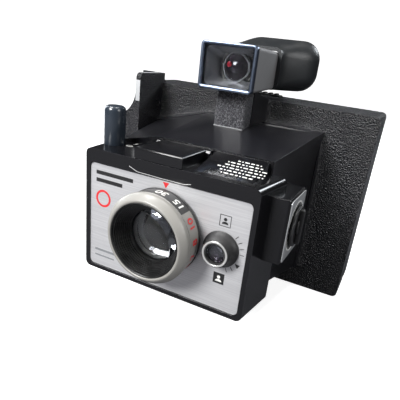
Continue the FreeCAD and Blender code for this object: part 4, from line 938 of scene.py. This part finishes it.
def make_timer():
    """Silver plate with a black dial: ring arcs, marks, a pointer and a knob with a grip bar."""
    plate = rounded_solid((54.92, -96.3, 50.8), (DIAL_X, -72.0, 79.8), 1.4, 0.12, "x")
    surface("dial_plate", plate, "camera_body", "timer_silver",
            stands_for=("timer_face",), crease=50)
    arcs = arc_shapes((0, 0), 11.6, 0.7, 14, 166) + arc_shapes((0, 0), 11.6, 0.7, 194, 346)
    on_dial("dial_field", [disc_shape(0, 0, 11.1, 96)], BLACK_INK, 0.03)
    on_dial("dial_ring", arcs, WHITE_INK)
    marks = []
    for index in range(24):
        angle = math.radians(index * 15)
        first = (10.0 * math.cos(angle), 10.0 * math.sin(angle))
        second = (10.8 * math.cos(angle), 10.8 * math.sin(angle))
        marks.append(stroke(first, second, 0.25))
    on_dial("dial_marks", marks, WHITE_INK)
    profile = [(0, 55.62), (9.2, 55.62), (9.55, 55.9), (9.55, 56.7), (9.2, 57.05), (7.6, 57.1),
               (7.3, 56.7), (0, 56.7)]
    turned_solid("dial_knob", profile, (TIMER_Y, TIMER_Z), "timer_grip", "timer_silver",
                 SCALE_BLACK, 96, ("timer_knob",), 40, ABOUT_X)
    bar = rounded_solid((56.6, TIMER_Y - 1.45, TIMER_Z - 8.5),
                        (58.95, TIMER_Y + 1.45, TIMER_Z + 8.5), 0.6, 0.7, "z")
    surface("dial_grip", bar, "timer_grip", "knob_black")
    hub = rounded_solid((56.6, TIMER_Y - 3.6, TIMER_Z - 3.6), (57.9, TIMER_Y + 3.6, TIMER_Z + 3.6),
                        3.5, 0.5, "x")
    surface("dial_hub", hub, "timer_grip", "knob_black")
    on_dial("dial_pointer", [[(9.9, -1.5), (12.1, 0), (9.9, 1.5)]], WHITE_INK, 0.06)


# ---- prints


def person_shapes(u, v, size):
    """A plain head-and-shoulders pictogram: a disc over a half disc."""
    shoulders = [(u + size * 0.34 * math.cos(a), v - size * 0.34 + size * 0.26 * math.sin(a))
                 for a in np.linspace(0, math.pi, 20)]
    return [disc_shape(u, v + size * 0.14, size * 0.17), shoulders]


def frame_shapes(u, v, half, wide):
    """Four bars round a square."""
    side = 2 * half
    return [bar_shape(u - half, v - half, side, wide),
            bar_shape(u - half, v + half - wide, side, wide),
            bar_shape(u - half, v - half + wide, wide, side - 2 * wide),
            bar_shape(u + half - wide, v - half + wide, wide, side - 2 * wide)]


def make_plate_prints():
    """Plain rules and a red circle, the focus index, the knob's ticks and two pictograms."""
    rules = [bar_shape(-39.0, 73.7, 21.5, 1.9), bar_shape(-39.0, 69.9, 15.5, 1.9)]
    facing_front("plate_rules", rules, BLACK_INK)
    facing_front("plate_red_ring", arc_shapes((-34.6, 61.7), 3.9, 1.1, 0, 360, 48), RED_INK)
    rules = [bar_shape(-39.2, 32.6, 13.0, 1.2), bar_shape(-39.2, 29.6, 12.0, 0.8)]
    facing_front("plate_grey_rules", rules, GREY_INK_AND_HIGHLIGHT)
    facing_front("focus_index", [[(-1.4, 78.3), (0.3, 75.6), (1.9, 78.3)]], RED_INK)
    ticks = []
    for angle in (48, 32, 16, 0, -52, -68):
        turn = math.radians(angle)
        ticks.append(stroke((KNOB_X + 9.0 * math.cos(turn), LENS_Z + 9.0 * math.sin(turn)),
                            (KNOB_X + 11.0 * math.cos(turn), LENS_Z + 11.0 * math.sin(turn)), 0.3))
    turn = math.radians(-33)
    tip = np.array([KNOB_X + 8.9 * math.cos(turn), LENS_Z + 8.9 * math.sin(turn)])
    away = np.array([math.cos(turn), math.sin(turn)])
    side = np.array([-away[1], away[0]])
    ticks.append([tip, tip + away * 2.2 + side * -1.1, tip + away * 2.2 + side * 1.1])
    facing_front("eye_ticks", ticks, BLACK_INK)
    icon = frame_shapes(30.9, 68.4, 2.7, 0.28) + person_shapes(30.9, 68.4, 4.6)
    facing_front("light_icon", icon, BLACK_INK)
    facing_front("dark_icon", [bar_shape(28.6, 37.7, 5.4, 5.4)], BLACK_INK)
    facing_front("dark_icon_person", person_shapes(31.3, 40.4, 4.6), WHITE_INK, PLATE_Y - 0.05)


def make_lip_highlight():
    """Painted highlight along the lip of the plate's tongue under the flash lid: a slim strip of
    bright metal.
    """
    line = [(-19.6, 81.7), (-15.0, 80.0), (-2.0, 79.75), (9.5, 79.8), (13.0, 80.6)]
    shapes = [stroke(first, second, 0.32) for first, second in zip(line[:-1], line[1:])]
    facing_front("plate_lip_highlight", shapes, LOOKS["trim_bright"], -108.78)


def make_top_prints():
    """Rows of plain dashes on the raised panel and two curved marks by the post."""
    length = math.hypot(1, PANEL_SLOPE)
    up = (0, 1 / length, PANEL_SLOPE / length)
    gap = 0.85
    pitch = 2.5
    dashes = []
    for row, count in enumerate((7, 10, 11, 9, 8, 6)):
        widths = [0.6 + 0.5 * ((row * 5 + index * 3) % 4) for index in range(count)]
        u = -(sum(widths) + gap * (count - 1)) / 2 + 1.2 * (row % 2)
        for wide in widths:
            dashes.append(bar_shape(u, row * pitch, wide, 0.75))
            u += wide + gap
    y = -101.0
    start = (30.0, y, SHOULDER_Z + PANEL_SLOPE * (y - PANEL_FRONT) + 0.03)
    print_shape("panel_dashes", dashes, start, (1, 0, 0), up, "camera_body", WHITE_INK)
    ring = []
    turns = np.linspace(0, 2 * math.pi, 29)
    for first, second in zip(turns[:-1], turns[1:]):
        ring.append([(-32.6 + reach * 1.9 * math.cos(a), -91.2 + reach * 1.3 * math.sin(a))
                     for a, reach in ((first, 0.7), (second, 0.7), (second, 1.0), (first, 1.0))])
    arc = arc_shapes((-36.2, -84.6), 3.6, 0.7, -35, 115)
    for name, shapes in (("post_mark", ring), ("post_arc", arc)):
        print_shape(name, shapes, (0, 0, SHOULDER_Z + 0.03), (1, 0, 0), (0, 1, 0), "camera_body",
                    WHITE_INK)


# ---- back of the camera


def make_back_details():
    """Raised border, grip ribs and a plain instruction panel on the back door."""
    pairs = ((0.0, 21.6), (0.0, 22.1), (0.2, 22.26), (1.4, 22.26), (1.6, 22.1), (1.6, 21.6))
    border = nested((-68, 8), (68, 104), 5, pairs)
    surface("door_border", border, "rear_door", "housing_black", wrap_rows=True)
    panel = rounded_solid((-36.0, 21.6, 24.0), (36.0, 22.16, 86.0), 2.5, 0.2, "y")
    surface("door_panel", panel, "rear_door", "ring_grey")
    lines = []
    for row in range(8):
        lines.append(bar_shape(-30.0, 31.0 + row * 5.4, 50.0 - 6.0 * (row % 3), 1.1))
    lines.append(bar_shape(-30.0, 76.5, 26.0, 3.0))
    print_shape("door_rules", lines, (0, 22.15, 0), (-1, 0, 0), (0, 0, 1), "rear_door", GREY_INK_AND_HIGHLIGHT,
                0.06)
    for index in range(6):
        rib = rounded_solid((44.0, 21.6, 30.0 + 9.0 * index), (62.0, 22.26, 33.0 + 9.0 * index),
                            1.4, 0.3, "y")
        surface(f"door_rib_{index}", rib, "rear_door", "shell_black", LOOKS["housing_black"])


# ---- studio


def sweep_material():
    """Pale matt sweep that is bright to the camera and dark in reflections."""
    material, shader = finish_of("studio_white", (0.8, 0.8, 0.8), 0.8, worn=(0.8,) * 3, wear=0.0,
                                 dust=0.0)
    tree = material.node_tree
    seen = tree.nodes.new("ShaderNodeLightPath").outputs["Is Camera Ray"]
    tree.links.new(mixed_colour(tree, seen, (0.09, 0.09, 0.10), (0.8, 0.8, 0.8)),
                   shader.inputs["Base Color"])
    glow = ranged(tree, seen, 0.0, 1.0, 0.0, 0.80)
    tree.links.new(glow, shader.inputs["Emission Strength"])
    shader.inputs["Emission Color"].default_value = (1.0, 1.0, 1.0, 1.0)
    return material


def make_floor():
    """Pale sweep: flat floor under the lowest point, curving up far behind the object."""
    depth = np.concatenate([np.linspace(-1.6, 0.9, 20), 0.9 + 0.5 * np.sin(np.radians(
        np.linspace(5, 90, 18))), np.full(6, 1.4)])
    height = np.concatenate([np.zeros(20), 0.5 - 0.5 * np.cos(np.radians(np.linspace(5, 90, 18))),
                             np.linspace(0.6, 2.2, 6)])
    turn = math.radians(23.7)
    grid = []
    for across in np.linspace(-2.4, 2.4, 12):
        row = []
        for far, high in zip(depth, height):
            row.append((across * math.cos(turn) - far * math.sin(turn),
                        across * math.sin(turn) + far * math.cos(turn),
                        high + START_BOUNDS[0][2] - 0.0003))
        grid.append(row)
    mesh = quads("studio_sweep", np.array(grid)[::-1])
    mesh.polygons.foreach_set("use_smooth", [True] * len(mesh.polygons))
    mesh.materials.append(sweep_material())
    placed("studio_sweep", mesh)


def softbox(name, place, target, wide, high, power, tint=(1.0, 1.0, 1.0)):
    """An area light aimed at a point; places are metres."""
    light = bpy.data.lights.new(name, "AREA")
    light.shape = "RECTANGLE"
    light.size = wide
    light.size_y = high
    light.energy = power
    light.color = tint
    holder = placed(name, light)
    holder.location = place
    aim = Vector(target) - Vector(place)
    holder.rotation_euler = aim.to_track_quat("-Z", "Y").to_euler()


def make_lights():
    """Six softboxes and a pale world that is bright only to the camera."""
    world = bpy.data.worlds.new("studio")
    world.use_nodes = True
    tree = world.node_tree
    tree.nodes["Background"].inputs["Color"].default_value = (1.0, 1.0, 1.0, 1.0)
    seen = tree.nodes.new("ShaderNodeLightPath").outputs["Is Camera Ray"]
    tree.links.new(ranged(tree, seen, 0.0, 1.0, 0.08, 1.0),
                   tree.nodes["Background"].inputs["Strength"])
    bpy.context.scene.world = world
    middle = (0, -0.06, 0.07)
    softbox("key", (-0.30, -0.75, 0.50), middle, 0.30, 0.30, 11.5)
    softbox("crest", (-0.32, -0.22, 0.75), middle, 0.22, 0.22, 4.5)
    softbox("side", (0.80, -0.30, 0.45), middle, 0.30, 0.45, 2.6)
    softbox("top", (0.05, -0.05, 0.80), middle, 0.25, 0.15, 2.0)
    softbox("back", (0.40, 0.60, 0.55), middle, 0.40, 0.20, 3.0, (0.9, 0.95, 1.0))
    softbox("left", (-0.70, 0.10, 0.35), middle, 0.15, 0.50, 2.2, (0.9, 0.95, 1.0))


def make_camera():
    """The camera from its place, azimuth, elevation, roll and focal length."""
    place = (0.090199, -0.260608, 0.134931)
    azimuth = math.radians(23.7286)
    elevation = math.radians(21.4611)
    roll = math.radians(6.93)
    ahead = Vector((-math.sin(azimuth) * math.cos(elevation),
                    math.cos(azimuth) * math.cos(elevation), -math.sin(elevation)))
    level = Vector((math.cos(azimuth), math.sin(azimuth), 0))
    upright = level.cross(ahead)
    right = level * math.cos(roll) + upright * math.sin(roll)
    up = upright * math.cos(roll) - level * math.sin(roll)
    lens = bpy.data.cameras.new("camera")
    lens.sensor_width = 36.0
    lens.lens = 37.1664
    lens.shift_x = -0.02435
    lens.shift_y = 0.0352
    lens.clip_start = 0.01
    camera = placed("camera", lens)
    turn = Matrix((right, up, -ahead)).transposed().to_4x4()
    camera.matrix_world = Matrix.Translation(place) @ turn
    bpy.context.scene.camera = camera


def dress_cad_nodes():
    """Give every CAD node that stays in view the look of its record slot."""
    for row in frame["record"]["subparts"]:
        node = frame["nodes"][row["node"]]
        for place in node.material_slots:
            place.material = LOOKS[row["material_slot"]]


dress_cad_nodes()
make_mouldings()
make_root_fillet()
make_fin_highlight()
make_ring()
make_scale_numerals()
make_hood()
make_glass()
make_exposure()
make_post()
make_flash_lid()
make_finder()
make_finder_inside()
make_eyecup()
make_stalk()
make_timer()
make_plate_prints()
make_lip_highlight()
make_top_prints()
make_back_details()
make_floor()
make_lights()
make_camera()
bpy.context.scene.view_settings.view_transform = "Standard"
